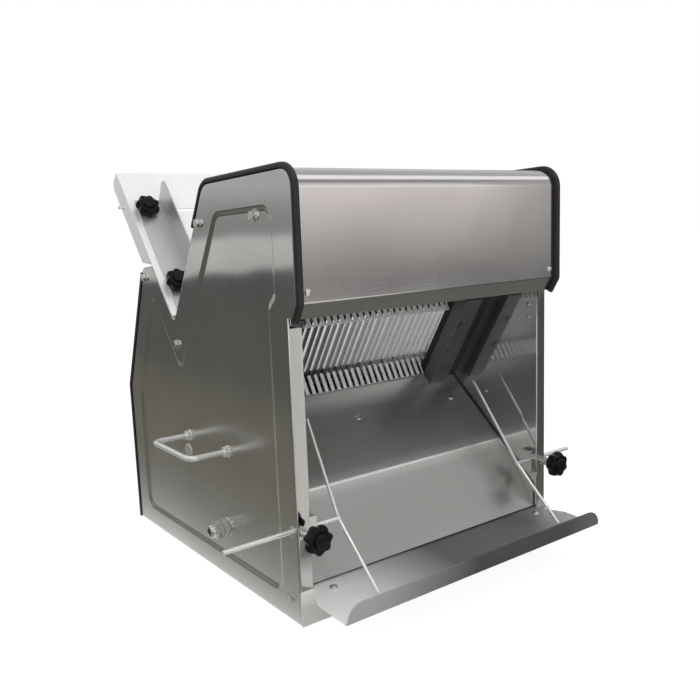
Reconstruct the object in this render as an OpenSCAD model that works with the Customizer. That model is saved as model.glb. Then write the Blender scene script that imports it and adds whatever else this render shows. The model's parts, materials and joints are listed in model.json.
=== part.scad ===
// Table bread slicer: two sets of blades move against each other between a hopper and a chute.
// The origin is on the floor in the middle of the footprint, X to the right, Y to the rear, Z up.

/* [Body] */
// Width over the outer faces of the side casings
body_w = 476; // [440:1:540]
// Depth from the front posts to the rear wall
body_d = 533; // [520:1:600]
// Thickness of each hollow side casing
casing_t = 19; // [17:0.5:24]
// Sheet metal thickness
sheet_t = 1.5; // [1:0.1:2]
// Height of the base, floor to tray seat
base_h = 51; // [44:1:60]
// Height of the upright part of the rear wall
rear_h = 248; // [220:1:280]
// Depth of the pressed field in the side panels
recess_depth = 3; // [1.5:0.1:5]
// Height of the rubber feet
foot_h = 4; // [3:0.5:10]
// Diameter of the rubber feet
foot_d = 36; // [20:1:50]

/* [Hood] */
// Height of the chin's lower edge
chin_z = 405; // [395:1:415]
// Height of the sloping chin
chin_h = 20; // [12:1:30]
// How far the chin's lower edge stands in front of the posts
chin_out = 8.5; // [5:0.5:12]
// How far the hood stands in front of the posts
hood_out = 20.7; // [16:0.1:28]
// Height of the hood at its front
hood_top_z = 585; // [570:1:610]
// How much the hood's top falls towards the rear
hood_drop = 8; // [0:0.5:16]
// Radius of the hood's front top edge
hood_front_r = 24; // [10:1:32]
// Radius of the hood's rear top edge
hood_rear_r = 22; // [10:1:30]
// Where the hood's rear edge ends, measured up the notch from its bottom
hood_end = 165; // [150:1:180]
// Width of the black edge trim
trim_w = 8; // [6:0.5:12]
// How far the edge trim stands off the casing
trim_out = 8.3; // [6:0.1:10]

/* [Blades] */
// Angle of the blades from upright
blade_tilt = 32; // [28:0.5:36]
// Slice thickness
blade_pitch = 12; // [10:0.5:20]
// Blade width
blade_w = 10; // [8:0.5:12]
// Blade thickness
blade_t = 0.8; // [0.6:0.1:1.2]
// Half of the blade stroke
stroke = 12; // [6:0.5:13]
// Distance from the front posts to the lower comb's tips
comb_back = 211; // [200:1:220]
// Height of the lower comb's tips
comb_z = 283.7; // [275:0.1:295]

/* [Hopper] */
// Distance from the front posts to the bottom of the casing's notch
vee_back = 330.5; // [322:0.5:340]
// Height of the bottom of the notch
vee_z = 377.6; // [370:0.1:386]
// Slope of the hopper plate
infeed_slope = 50.7; // [48:0.1:54]
// Length of the hopper plate above the notch's bottom
infeed_len = 305; // [290:1:320]
// Slope of the hopper's floor below the notch
floor_slope = 38; // [36:0.5:40]
// Depth of the hopper plate's back flanges
flange_h = 27.5; // [22:0.5:31]
// Distance of the loaf guide's standing leg from the liner
guide_in = 39; // [32:1:50]
// Height of the loaf guide's standing leg
guide_h = 40; // [25:1:55]
// Distance of the loaf guide's knobs inside the casing's outer face
knob_in = 26; // [22:1:32]
// Travel of a loaf guide towards the middle
guide_travel = 90; // [50:1:100]

/* [Chute and tray] */
// Slope of the comb's fingers
finger_slope = 61.4; // [56:0.1:66]
// Length of the comb's fingers
finger_len = 34; // [28:0.5:40]
// Slope of the chute's upper part
chute_slope = 40.85; // [38:0.05:44]
// Length of the chute's upper part
chute_len = 158; // [145:1:165]
// How far the tray stands in front of the posts
tray_out = 101.7; // [80:0.1:130]
// Height of the tray's lip
lip_h = 24.5; // [15:0.5:35]
// Fall of the tray towards its lip
tray_drop = 4.2; // [0:0.1:8]

/* [Slice guides] */
// Diameter of the cross rods
rod_d = 6.5; // [5:0.1:8]
// Height of the cross rods
rod_z = 130; // [120:1:150]
// Distance of the cross rods behind the front of the posts
rod_back = 13; // [11:0.5:16]
// Diameter of the bent guide rods
guide_rod_d = 5; // [4:0.1:6]
// Distance of the left guide rod from its liner
left_guide_in = 54; // [30:1:70]
// Distance of the right guide rod from its liner
right_guide_in = 32; // [30:1:70]
// Length of the left cross rod
left_rod_len = 173; // [130:1:200]
// Length of the right cross rod
right_rod_len = 123; // [110:1:200]

/* [Knobs and fittings] */
// Diameter of the star knobs
knob_d = 40; // [34:1:46]
// Number of lobes of a star knob
knob_lobes = 7; // [5:1:9]
// Diameter of the knob studs
stud_d = 6; // [5:0.1:7]
// Distance between the legs of a handle
handle_span = 124; // [110:1:150]
// How far a handle stands off the panel
handle_out = 64; // [40:1:70]
// Diameter of the handle rod
handle_d = 8; // [6:0.5:12]
// Height of the handles
handle_z = 199.5; // [180:0.5:220]
// Diameter of the cable gland's flange
gland_d = 28.5; // [24:0.5:34]
// Diameter of the plug button in the panel
plug_d = 24; // [16:1:30]

/* [Drive] */
// Distance of the crankshaft below the comb's tips, along the blades
crank_down = 230; // [222:1:236]
// Diameter of the crankshaft
shaft_d = 20; // [14:1:26]
// Diameter of the driven pulley as a share of the room behind the crankshaft
pulley_share = 0.7; // [0.55:0.01:0.75]
// Diameter of the motor pulley as a share of that room
motor_pulley_share = 0.28; // [0.25:0.01:0.4]
// Width of the belt
belt_w = 14; // [10:1:16]
// Diameter of the motor as a share of the room behind the crankshaft
motor_share = 0.55; // [0.45:0.01:0.56]
// Length of the motor
motor_len = 170; // [120:1:175]
// Diameter of the start and stop buttons
button_d = 22; // [16:1:26]
// Travel of the start and stop buttons
button_travel = 3; // [2:0.5:4]

/* [Hidden] */
$fn = 48;
overrun = 1;
fit_gap = 0.5;
slide_gap = 0.3;
run_gap = 0.05;
arc_step = 12;
half_w = body_w/2;
liner_x = half_w - casing_t;
front_y = -body_d/2;
rear_y = body_d/2;
deck_w = 2*(liner_x - fit_gap);
comb_margin = 38;
comb_edge = 0.5;
blade_count = 2*floor((liner_x - comb_margin)/blade_pitch);
comb_w = blade_count*blade_pitch + 2*comb_edge;
guide_x = liner_x - guide_in;
guide_knob_x = half_w - knob_in;
flat_turn_share = 0.001;
steel = "silver";
dark = "dimgray";
black = "#1c1c1c";

// Plane geometry in side view, first number Y, second number Z

function unit(v) = v/norm(v);
function left_of(v) = [-v[1], v[0]];
function turned(v, a) = [v[0]*cos(a) - v[1]*sin(a), v[0]*sin(a) + v[1]*cos(a)];
function towards(a) = [cos(a), sin(a)];
function cross_of(a, b) = a[0]*b[1] - a[1]*b[0];

// Where the line through p along u meets the line through q along v
function meet(p, u, q, v) = p + u*(cross_of(q - p, v)/cross_of(u, v));

// Arc that rounds the corner q between p and s
function corner(p, q, s, r) =
    r <= 0 ? [q] :
    let (a = unit(p - q), b = unit(s - q), half = acos(a*b)/2,
         middle = q + unit(a + b)*(r/sin(half)),
         spoke = q + a*(r/tan(half)) - middle,
         sweep = (180 - 2*half)*sign(cross_of(b, a)),
         steps = ceil(abs(sweep)/arc_step))
    [for (i = [0:steps]) middle + turned(spoke, sweep*i/steps)];

// Open path with its inner corners rounded
function rounded(pts, radii) = [
    for (i = [0:len(pts) - 1])
        each (i == 0 || i == len(pts) - 1) ? [pts[i]] : corner(pts[i - 1], pts[i], pts[i + 1], radii[i])
];

// Closed outline with its corners rounded
function ring(pts, radii) = let (n = len(pts)) [
    for (i = [0:n - 1]) each corner(pts[(i + n - 1)%n], pts[i], pts[(i + 1)%n], radii[i])
];

// Open path moved to its left by d
function beside(pts, d) = let (n = len(pts)) [
    for (i = [0:n - 1])
        let (a = i > 0 ? unit(pts[i] - pts[i - 1]) : unit(pts[1] - pts[0]),
             b = i < n - 1 ? unit(pts[i + 1] - pts[i]) : a)
        abs(cross_of(a, b)) < flat_turn_share
            ? pts[i] + left_of(a)*d
            : meet(pts[i] + left_of(a)*d, a, pts[i] + left_of(b)*d, b)
];
function beside_radii(pts, radii, d) = [
    for (i = [0:len(pts) - 1])
        (i == 0 || i == len(pts) - 1 || radii[i] == 0) ? 0 :
        max(0, radii[i] - d*sign(cross_of(pts[i] - pts[i - 1], pts[i + 1] - pts[i])))
];

// Clockwise outline moved inwards, by its own distance at each edge
function inset(pts, gaps) = let (n = len(pts)) [
    for (i = [0:n - 1])
        let (j = (i + n - 1)%n,
             a = unit(pts[i] - pts[j]),
             b = unit(pts[(i + 1)%n] - pts[i]))
        meet(pts[i] - left_of(a)*gaps[j], a, pts[i] - left_of(b)*gaps[i], b)
];

// Bent sheet along an open path, its thickness on the left
function sheet_outline(pts, radii, t) = concat(
    rounded(pts, radii),
    [let (back = rounded(beside(pts, t), beside_radii(pts, radii, t)), n = len(back))
        for (i = [0:n - 1]) back[n - 1 - i]]
);

// Side view outline drawn out along X from x
module along_x(x, w) {
    translate([x, 0, 0])
        rotate([90, 0, 90])
            linear_extrude(w)
                children();
}
module across(w) {
    along_x(-w/2, w)
        children();
}
module both_sides() {
    children();
    mirror([1, 0, 0])
        children();
}
module box_between(low, high) {
    translate(low)
        cube(high - low);
}
// Round bar from p to q
module bar_between(p, q, d) {
    v = q - p;
    translate(p)
        rotate([0, acos(v[2]/norm(v)), atan2(v[1], v[0])])
            cylinder(d = d, h = norm(v));
}
// Hexagon bolt head with its washer, axis along +Z from the seat
module hex_bolt(d) {
    cylinder(d = d*bolt_washer_share, h = bolt_washer_t);
    cylinder(d = d*bolt_head_share, h = bolt_washer_t + d*bolt_height_share, $fn = 6);
}
bolt_washer_share = 2.1;
bolt_head_share = 1.9;
bolt_height_share = 0.6;
bolt_washer_t = 1.2;

// Round screw head, axis along +Z from the seat
module pan_screw(d) {
    cylinder(d = d*screw_head_share, h = d*screw_height_share);
}
screw_head_share = 2;
screw_height_share = 0.55;

// Blade axes: up along the blades, and from the front to the rear square to them
blade_up = towards(90 + blade_tilt);
blade_back = towards(blade_tilt);
tip = [front_y + comb_back, comb_z];
function at_blade(off, up) = tip + blade_back*off + blade_up*up;

// Hopper axes: up the plate, and square to it
vee = [front_y + vee_back, vee_z];
function at_hopper(up, over) = vee + towards(infeed_slope)*up + left_of(towards(infeed_slope))*over;

// Casing outline
peak_up = 108;
peak_w = 40;
peak_drop = 4;
vee_r = 6;
rear_r = 5;
hood_rear_z = hood_top_z - hood_drop;
hood_front_y = front_y - hood_out;
hood_rear_y = vee[0] - (hood_rear_z - vee_z)*tan(blade_tilt);
chin_low = [front_y - chin_out, chin_z];
chin_high = [hood_front_y, chin_z + chin_h];
hood_top = [hood_front_y, hood_top_z];
hood_rear = [hood_rear_y, hood_rear_z];
hood_foot = vee + blade_up*hood_end;
peak = at_hopper(peak_up, 0);
rear_peak = peak + [peak_w, -peak_drop];
rear_bend = [rear_y, rear_h];
casing_low = [front_y, foot_h];
casing_rear_low = [rear_y, foot_h];
post_top = [front_y, chin_z];
casing = [casing_low, post_top, chin_low, chin_high, hood_top, hood_rear, vee, peak, rear_peak,
    rear_bend, casing_rear_low];
casing_radii = [0, 0, 0, 0, hood_front_r, hood_rear_r, vee_r, 0, rear_r, 0, 0];
casing_turns = [1, 1, -1, 1, 1, 1, -1, 1, 1, 1, 1];
inner_gaps = [for (p = casing) sheet_t];
inner_radii = [for (i = [0:len(casing) - 1])
    casing_radii[i] == 0 ? 0 : casing_radii[i] - sheet_t*casing_turns[i]];

// Pressed field, with its distance from each edge of the casing
field_front = 43;
field_chin = 37;
field_hood = 47;
field_top = 40;
field_notch = 46;
field_hopper = 37;
field_rear = 43;
field_low = 32;
field_r = 22;
field_corner_r = 4;
field_apex_r = 10;
field_apex = meet(vee, towards(infeed_slope), rear_bend, unit(rear_peak - rear_bend));
field_base = [casing_low, post_top, chin_high, hood_top, hood_rear, vee, field_apex, rear_bend,
    casing_rear_low];
field_gaps = [field_front, field_chin, field_hood, field_top, field_notch, field_hopper, field_rear,
    field_rear, field_low];
field = inset(field_base, field_gaps);
field_radii = [field_r, field_corner_r, field_corner_r, field_r, field_r, field_corner_r,
    field_apex_r, field_r, field_r];
field_back = inset(field_base, [for (g = field_gaps) g - sheet_t]);

// Fittings on the side panels
rod_y = front_y + rod_back;
sleeve_d = 14;
boss_d = 13;
boss_out = 17;
clamp_x = half_w - casing_t/2;
clamp_w = 12;
clamp_d = 23;
clamp_h = 35;
post_short = 12;
post_gap_d = 22;
stud_notch_w = 22;
stud_notch_h = 13;
lower_knob_up = 67;
upper_knob_below = 84;
upper_knob_up = infeed_len - upper_knob_below;
handle_back = 245.5;
handle_y = front_y + handle_back;
handle_bend_r = 12;
collar_d = 18;
collar_t = 4;
gland_back = 193.5;
gland_y = front_y + gland_back;
gland_z = 83;
gland_bore_share = 0.36;
gland_hex_share = 0.92;
gland_nut_share = 0.88;
gland_flange_t = 3;
gland_hex_h = 13;
gland_len = 33;
plug_back = 315;
plug_y = front_y + plug_back;
plug_z = 172;
plug_t = 2.4;
plug_bore_share = 0.92;
panel_bolt_d = 7;

// Places of the panel bolts, the first on the pressed field
field_bolt_back = 94;
field_bolt_drop = 54;
notch_bolt_front = 5;
notch_bolt_drop = 36;
hood_bolt_front = 18.6;
hood_bolt_rise = 7;
low_bolt_back = 26;
low_bolt_rise = 31;
peak_bolt_front = 7;
peak_bolt_drop = 16;
field_bolts = [[hood_front_y + field_bolt_back, hood_top_z - field_bolt_drop]];
rim_bolts = [
    vee - [notch_bolt_front, notch_bolt_drop],
    hood_foot + [-hood_bolt_front, hood_bolt_rise],
    casing_low + [low_bolt_back, low_bolt_rise],
    rear_peak - [peak_bolt_front, peak_bolt_drop]
];

// Shell of the left casing, open towards the middle
module left_casing_shell() {
    shell_w = casing_t - sheet_t;
    difference() {
        union() {
            difference() {
                along_x(-half_w, shell_w)
                    polygon(ring(casing, casing_radii));
                along_x(-half_w + sheet_t, shell_w)
                    polygon(ring(inset(casing, inner_gaps), inner_radii));
            }
            along_x(-half_w + sheet_t/2, recess_depth + sheet_t/2)
                polygon(ring(field_back, field_radii));
        }
        along_x(-half_w - overrun, recess_depth + overrun)
            polygon(ring(field, field_radii));
        stud_notch();
        post_gap();
        along_x(-half_w - overrun, shell_w)
            translate([rod_y, rod_z])
                circle(d = sleeve_d + 2*slide_gap);
        translate([-clamp_x, front_y - overrun, rod_z])
            rotate([-90, 0, 0])
                cylinder(d = boss_d + 2*slide_gap, h = 2*overrun + sheet_t);
    }
}
// Clearance under the hopper plate for the lower knob's stud and nut
module stud_notch() {
    along_x(-half_w + sheet_t, 2*casing_t)
        polygon([
            at_hopper(lower_knob_up - stud_notch_w/2, overrun),
            at_hopper(lower_knob_up + stud_notch_w/2, overrun),
            at_hopper(lower_knob_up + stud_notch_w/2, -stud_notch_h),
            at_hopper(lower_knob_up - stud_notch_w/2, -stud_notch_h)
        ]);
}
// Gap between the post's front face and the chin
module post_gap() {
    box_between([-half_w + sheet_t, front_y - overrun, chin_z - post_short],
        [-liner_x + overrun, front_y + post_gap_d, chin_z]);
}
module left_side_panel() {
    color("lightslategray")
        difference() {
            left_casing_shell();
            along_x(-half_w - overrun, casing_t)
                translate([gland_y, gland_z])
                    circle(d = gland_d*gland_bore_share);
            along_x(-half_w - overrun, casing_t)
                translate([plug_y, plug_z])
                    circle(d = plug_d*plug_bore_share);
        }
}
module right_side_panel() {
    color("lightslategray")
        mirror([1, 0, 0])
            left_casing_shell();
}
module left_liner_sheet() {
    difference() {
        along_x(-liner_x - sheet_t, sheet_t)
            polygon(ring(casing, casing_radii));
        stud_notch();
        post_gap();
        along_x(-half_w, casing_t + overrun)
            translate([rod_y, rod_z])
                circle(d = sleeve_d + 2*slide_gap);
    }
}
module left_liner() {
    color("lightgray")
        left_liner_sheet();
}
module right_liner() {
    color("lightgray")
        mirror([1, 0, 0])
            left_liner_sheet();
}

// Hood and its edge trim
hood_path = [chin_low, chin_high, hood_top, hood_rear, hood_foot];
hood_radii = [0, 0, hood_front_r, hood_rear_r, 0];
hood_screw_rise = 12;
hood_screw_in = 17;
hood_screw_z = chin_z + chin_h + hood_screw_rise;
hood_screw_x = half_w - hood_screw_in;
module hood_cover() {
    color("lightgray")
        across(body_w - 2*trim_w)
            polygon(sheet_outline(hood_path, hood_radii, sheet_t));
}
module hood_trims() {
    color(black)
        both_sides()
            along_x(-half_w, trim_w)
                polygon(sheet_outline(hood_path, hood_radii, trim_out));
}
rear_trim_t = 3.5;
trim_lip_t = 1.4;
trim_lip_w = 4;
rear_trim_path = [rear_peak + unit(rear_bend - rear_peak)*rear_r*2, rear_bend, casing_rear_low];
rear_trim_radii = [0, 0, 0];
module rear_trims() {
    lip_path = beside(rear_trim_path, -trim_lip_w);
    color(black)
        both_sides() {
            along_x(-half_w, trim_w)
                polygon(sheet_outline(rear_trim_path, rear_trim_radii, rear_trim_t));
            along_x(-half_w - trim_lip_t, trim_lip_t)
                polygon(sheet_outline(lip_path, rear_trim_radii, rear_trim_t + trim_lip_w));
        }
}
cover_screw_d = 5;
rear_screw_share = 0.86;
rear_screw_z = [base_h, rear_h*rear_screw_share];
rear_screw_in = 18;
rear_screw_x = liner_x - rear_screw_in;
module cover_screws() {
    color(steel)
        both_sides() {
            translate([hood_screw_x, hood_front_y - sheet_t, hood_screw_z])
                rotate([90, 0, 0])
                    pan_screw(cover_screw_d);
            for (z = rear_screw_z)
                translate([rear_screw_x, rear_y, z])
                    rotate([-90, 0, 0])
                        pan_screw(cover_screw_d);
        }
}
module panel_bolts() {
    color(steel)
        both_sides() {
            for (p = field_bolts)
                translate([-half_w + recess_depth, p[0], p[1]])
                    rotate([0, -90, 0])
                        hex_bolt(panel_bolt_d);
            for (p = rim_bolts)
                translate([-half_w, p[0], p[1]])
                    rotate([0, -90, 0])
                        hex_bolt(panel_bolt_d);
        }
}

// Base, feet and rear wall
floor_t = 2;
apron_y = front_y - sheet_t;
base_lip = 34;
foot_side_in = 42;
foot_end_in = 40;
foot_x = liner_x - foot_side_in;
foot_y = body_d/2 - foot_end_in;
foot_stem_d = 10;
module base_frame() {
    color("gainsboro")
        difference() {
            union() {
                box_between([-deck_w/2, front_y, foot_h], [deck_w/2, rear_y - sheet_t, foot_h + floor_t]);
                box_between([-half_w, apron_y, foot_h], [half_w, front_y, base_h]);
                box_between([-deck_w/2, front_y, base_h - sheet_t],
                    [deck_w/2, front_y + base_lip, base_h]);
            }
            for (x = [-foot_x, foot_x], y = [-foot_y, foot_y])
                translate([x, y, 0])
                    cylinder(d = foot_stem_d + 2*run_gap, h = foot_h + floor_t + overrun);
        }
}
module rubber_feet() {
    color(black)
        for (x = [-foot_x, foot_x], y = [-foot_y, foot_y])
            translate([x, y, 0]) {
                cylinder(d = foot_d, h = foot_h);
                cylinder(d = foot_stem_d, h = foot_h + floor_t);
            }
}
wall_top = rear_peak - [0, peak_drop];
wall_low = [rear_y, foot_h];
vent_count = 6;
vent_w = 60;
vent_h = 5;
vent_pitch = 14;
vent_z = 90;
vent_x = 90;
module rear_wall() {
    color("lightgray")
        difference() {
            across(deck_w)
                polygon(sheet_outline([wall_low, rear_bend, wall_top], [0, 0, 0], sheet_t));
            for (i = [0:vent_count - 1], s = [-1, 1])
                translate([s*vent_x - vent_w/2, rear_y - 2*sheet_t, vent_z + i*vent_pitch])
                    cube([vent_w, 3*sheet_t, vent_h]);
        }
}

// Hopper plate, its tie rod and the loaf guides
floor_end_off = 8;
floor_step_off = 24;
floor_dir = -towards(floor_slope);
function floor_at(off) = meet(vee, floor_dir, at_blade(off, 0), blade_up);
slot_w = stud_d + 2*slide_gap;
tie_rod_d = 6;
tie_rod_below = 57;
tie_rod_up = infeed_len - tie_rod_below;
tie_rod_drop = 20;
tie_rod_end = 8;
flange_r = 14;
guide_t = 2;
guide_base_edge = 14;
guide_base_x = guide_knob_x + guide_base_edge;
guide_low = 6;
guide_below = 43;
guide_up = infeed_len - guide_below;
guide_r = 10;
guide_back = 8;
nut_d = 13;
nut_h = 6;
knob_ups = [lower_knob_up, upper_knob_up];

// Work plane of the hopper plate: Y up the plate, Z square to it
module on_hopper() {
    translate([0, vee[0], vee[1]])
        rotate([infeed_slope, 0, 0])
            children();
}
module hopper_plate() {
    flange_low = peak_up + flange_h;
    wide_low = vee_r/tan((90 + blade_tilt - infeed_slope)/2) + fit_gap;
    slot_end = guide_knob_x + guide_back + slot_w/2;
    slot_start = guide_knob_x - guide_travel - slot_w/2;
    color("whitesmoke")
        difference() {
            union() {
                on_hopper()
                    box_between([-half_w, wide_low, 0], [half_w, infeed_len, sheet_t]);
                across(deck_w)
                    polygon(sheet_outline([floor_at(floor_step_off), vee, at_hopper(wide_low + overrun, 0)],
                        [0, 0, 0], sheet_t));
                across(comb_w)
                    polygon(sheet_outline([floor_at(floor_end_off),
                        floor_at(floor_step_off) - floor_dir*overrun], [0, 0], sheet_t));
                both_sides()
                    along_x(-half_w, sheet_t)
                        polygon(ring([
                            at_hopper(peak_up + fit_gap, sheet_t),
                            at_hopper(infeed_len, sheet_t),
                            at_hopper(infeed_len, -flange_h),
                            at_hopper(flange_low, -flange_h)
                        ], [0, 0, flange_r, 0]));
            }
            on_hopper()
                for (s = [-1, 1], up = knob_ups) {
                    box_between([s*(slot_end + slot_start)/2 - (slot_end - slot_start)/2, up - slot_w/2,
                        -overrun],
                        [s*(slot_end + slot_start)/2 + (slot_end - slot_start)/2, up + slot_w/2,
                        sheet_t + overrun]);
                }
            on_hopper()
                translate([-half_w - overrun, tie_rod_up, -tie_rod_drop])
                    rotate([0, 90, 0])
                        cylinder(d = tie_rod_d + 2*run_gap, h = body_w + 2*overrun);
        }
}
module hopper_tie_rod() {
    color(steel)
        on_hopper()
            translate([-half_w - tie_rod_end, tie_rod_up, -tie_rod_drop])
                rotate([0, 90, 0])
                    cylinder(d = tie_rod_d, h = body_w + 2*tie_rod_end);
}
guide_seat = sheet_t + slide_gap;
module left_loaf_guide_angle() {
    on_hopper()
        difference() {
            union() {
                box_between([-guide_base_x, guide_low, guide_seat],
                    [-guide_x, guide_up - guide_h/2, guide_seat + guide_t]);
                translate([-guide_x - guide_t, 0, guide_seat])
                    rotate([90, 0, 90])
                        linear_extrude(guide_t)
                            polygon(ring([[guide_low, 0], [guide_low, guide_h], [guide_up, guide_h],
                                [guide_up - guide_h/2, 0]], [0, guide_r, guide_r, 0]));
            }
            for (up = knob_ups)
                translate([-guide_knob_x, up, 0])
                    cylinder(d = stud_d + 2*run_gap, h = guide_h);
        }
}
module left_loaf_guide() {
    color("white")
        left_loaf_guide_angle();
}
module right_loaf_guide() {
    color("white")
        mirror([1, 0, 0])
            left_loaf_guide_angle();
}
module left_nut_pair() {
    on_hopper()
        for (up = knob_ups)
            translate([-guide_knob_x, up, -slide_gap - nut_h])
                difference() {
                    cylinder(d = nut_d, h = nut_h, $fn = 6);
                    translate([0, 0, -overrun])
                        cylinder(d = stud_d + 2*run_gap, h = nut_h + 2*overrun);
                }
}
module left_guide_nuts() {
    color(steel)
        left_nut_pair();
}
module right_guide_nuts() {
    color(steel)
        mirror([1, 0, 0])
            left_nut_pair();
}

// Star knob on a hub of height hub_h: its seat at the origin, head along +Z, stud along -Z
knob_valley_share = 0.17;
knob_hub_share = 0.42;
knob_crown_share = 0.5;
knob_h = 15;
guide_hub_h = 2;
clamp_hub_h = 7;
knob_crown_h = 3;
lobe_steps = 12;
function knob_outline() = let (n = knob_lobes*lobe_steps) [
    for (i = [0:n - 1])
        let (a = 360*i/n)
        towards(a)*knob_d/2*(1 - knob_valley_share*(1 - cos(knob_lobes*a))/2)
];
module star_knob(stud_len, hub_h) {
    hub_r = knob_d*knob_hub_share/2;
    crown_r = knob_d*knob_crown_share/2;
    step_z = hub_h + knob_h/2;
    translate([0, 0, hub_h])
        linear_extrude(knob_h)
            polygon(knob_outline());
    rotate_extrude()
        polygon([
            [0, -stud_len], [stud_d/2, -stud_len], [stud_d/2, 0], [hub_r, 0], [hub_r, step_z],
            [crown_r, step_z], [crown_r, hub_h + knob_h + knob_crown_h],
            [0, hub_h + knob_h + knob_crown_h]
        ]);
}
module left_guide_knob(up, turn) {
    seat = guide_seat + guide_t + slide_gap;
    on_hopper()
        translate([-guide_knob_x, up, seat])
            rotate([0, 0, turn])
                star_knob(seat + slide_gap + nut_h, guide_hub_h);
}
upper_knob_turn = 20;
lower_knob_turn = 5;
module left_upper_knob() {
    color(black)
        left_guide_knob(upper_knob_up, upper_knob_turn);
}
module left_lower_knob() {
    color(black)
        left_guide_knob(lower_knob_up, lower_knob_turn);
}
module right_upper_knob() {
    color(black)
        mirror([1, 0, 0])
            left_guide_knob(upper_knob_up, upper_knob_turn);
}
module right_lower_knob() {
    color(black)
        mirror([1, 0, 0])
            left_guide_knob(lower_knob_up, lower_knob_turn);
}

// Combs and chute
comb_slot_w = 6;
comb_up = 117.5;
comb_front = 22.5;
comb_rim = 3;
comb_slot_len = 40;
comb_leg = 75;
comb_wide = 50;
comb_dir = towards(finger_slope);
comb_low = at_blade(-comb_front, comb_up);
function blade_x(i) = (i - (blade_count - 1)/2)*blade_pitch;

// Slots between two distances along a sheet from p
module comb_slots(p, dir, from, to) {
    wall = left_of(dir)*(sheet_t + overrun);
    for (i = [0:blade_count - 1])
        along_x(blade_x(i) - comb_slot_w/2, comb_slot_w)
            polygon([p + dir*from - wall, p + dir*to - wall, p + dir*to + wall, p + dir*from + wall]);
}
module upper_comb() {
    knee = comb_low + comb_dir*comb_leg;
    end = hood_foot - blade_back*fit_gap - blade_up*fit_gap;
    color(steel)
        difference() {
            union() {
                across(2*(rail_x - fit_gap))
                    polygon(sheet_outline([comb_low, comb_low + comb_dir*(comb_wide + overrun)], [0, 0],
                        sheet_t));
                across(deck_w)
                    polygon(sheet_outline([comb_low + comb_dir*comb_wide, knee, end], [0, 0, 0], sheet_t));
            }
            comb_slots(comb_low, comb_dir, comb_rim, comb_slot_len);
        }
}
chute_gap = 4;
chute_foot_back = 5;
chute_foot_rise = 3;
chute_foot = [front_y + chute_foot_back, base_h + sheet_t + chute_foot_rise];
chute_top = tip - comb_dir*finger_len;
chute_dir = towards(chute_slope);
chute_bend = chute_top - chute_dir*chute_len;
chute_w = 2*(liner_x - chute_gap);
finger_rim = 3;
cheek_top = chute_bend - chute_dir*((chute_bend[0] - chute_foot[0])/cos(chute_slope));
module chute() {
    color("darkgray") {
        difference() {
            union() {
                across(chute_w)
                    polygon(sheet_outline([chute_top, chute_bend, chute_foot], [0, 0, 0], sheet_t));
                across(comb_w)
                    polygon(sheet_outline([tip, chute_top, chute_top - chute_dir*finger_rim], [0, 0, 0],
                        sheet_t));
                both_sides()
                    along_x(-chute_w/2, sheet_t)
                        polygon([chute_bend, chute_foot, cheek_top]);
            }
            comb_slots(tip, -comb_dir, -overrun, finger_len - finger_rim);
        }
    }
}
chute_stud_d = 5;
chute_stud_down = 57;
chute_stud_in = 43;
chute_stud_mid = -22;
chute_stud_x = [chute_stud_mid, liner_x - chute_stud_in, chute_stud_in - liner_x];
module chute_studs() {
    seat = chute_top - chute_dir*chute_stud_down;
    color(steel)
        for (x = chute_stud_x)
            translate([x, seat[0], seat[1]])
                rotate([chute_slope, 0, 0])
                    pan_screw(chute_stud_d);
}

// Side rails in front of the blades
rail_in = 64;
rail_x = liner_x - rail_in;
rail_w = 35;
rail_front = 51;
rail_mid = 26;
rail_rear = 15;
rail_pad_front = 40;
rail_top = 155;
rail_gap = 0.4;
function over_comb(off) = meet(at_blade(-off, 0), blade_up, tip, comb_dir) + blade_up*rail_gap;
function over_chute(off) = meet(at_blade(-off, 0), blade_up, chute_top, chute_dir) + blade_up*rail_gap;
module side_rails() {
    color(dark)
        both_sides()
            along_x(rail_x, rail_w)
                polygon([over_comb(rail_mid), at_blade(-rail_mid, rail_top),
                    at_blade(-rail_front, rail_top), over_chute(rail_front),
                    over_chute(rail_mid + finger_rim)]);
}
module rail_strips() {
    color(black)
        both_sides() {
            along_x(rail_x, liner_x - fit_gap - rail_x)
                polygon([over_comb(rail_rear), at_blade(-rail_rear, rail_top),
                    at_blade(-rail_mid, rail_top), over_comb(rail_mid)]);
            along_x(rail_x + rail_w, liner_x - fit_gap - rail_x - rail_w)
                polygon([over_comb(rail_mid - sheet_t), at_blade(-rail_mid + sheet_t, rail_top),
                    at_blade(-rail_pad_front, rail_top), over_chute(rail_pad_front),
                    over_chute(rail_mid + finger_rim)]);
        }
}
rail_bolt_d = 5;
rail_bolt_low = 50;
rail_bolt_high = 105;
rail_bolt_in = 8;
module rail_bolts() {
    color(dark)
        both_sides()
            for (up = [rail_bolt_low, rail_bolt_high])
                let (p = at_blade(-rail_front, up))
                    translate([rail_x + rail_bolt_in, p[0], p[1]])
                        rotate([90 + blade_tilt, 0, 0])
                            pan_screw(rail_bolt_d);
}

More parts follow.
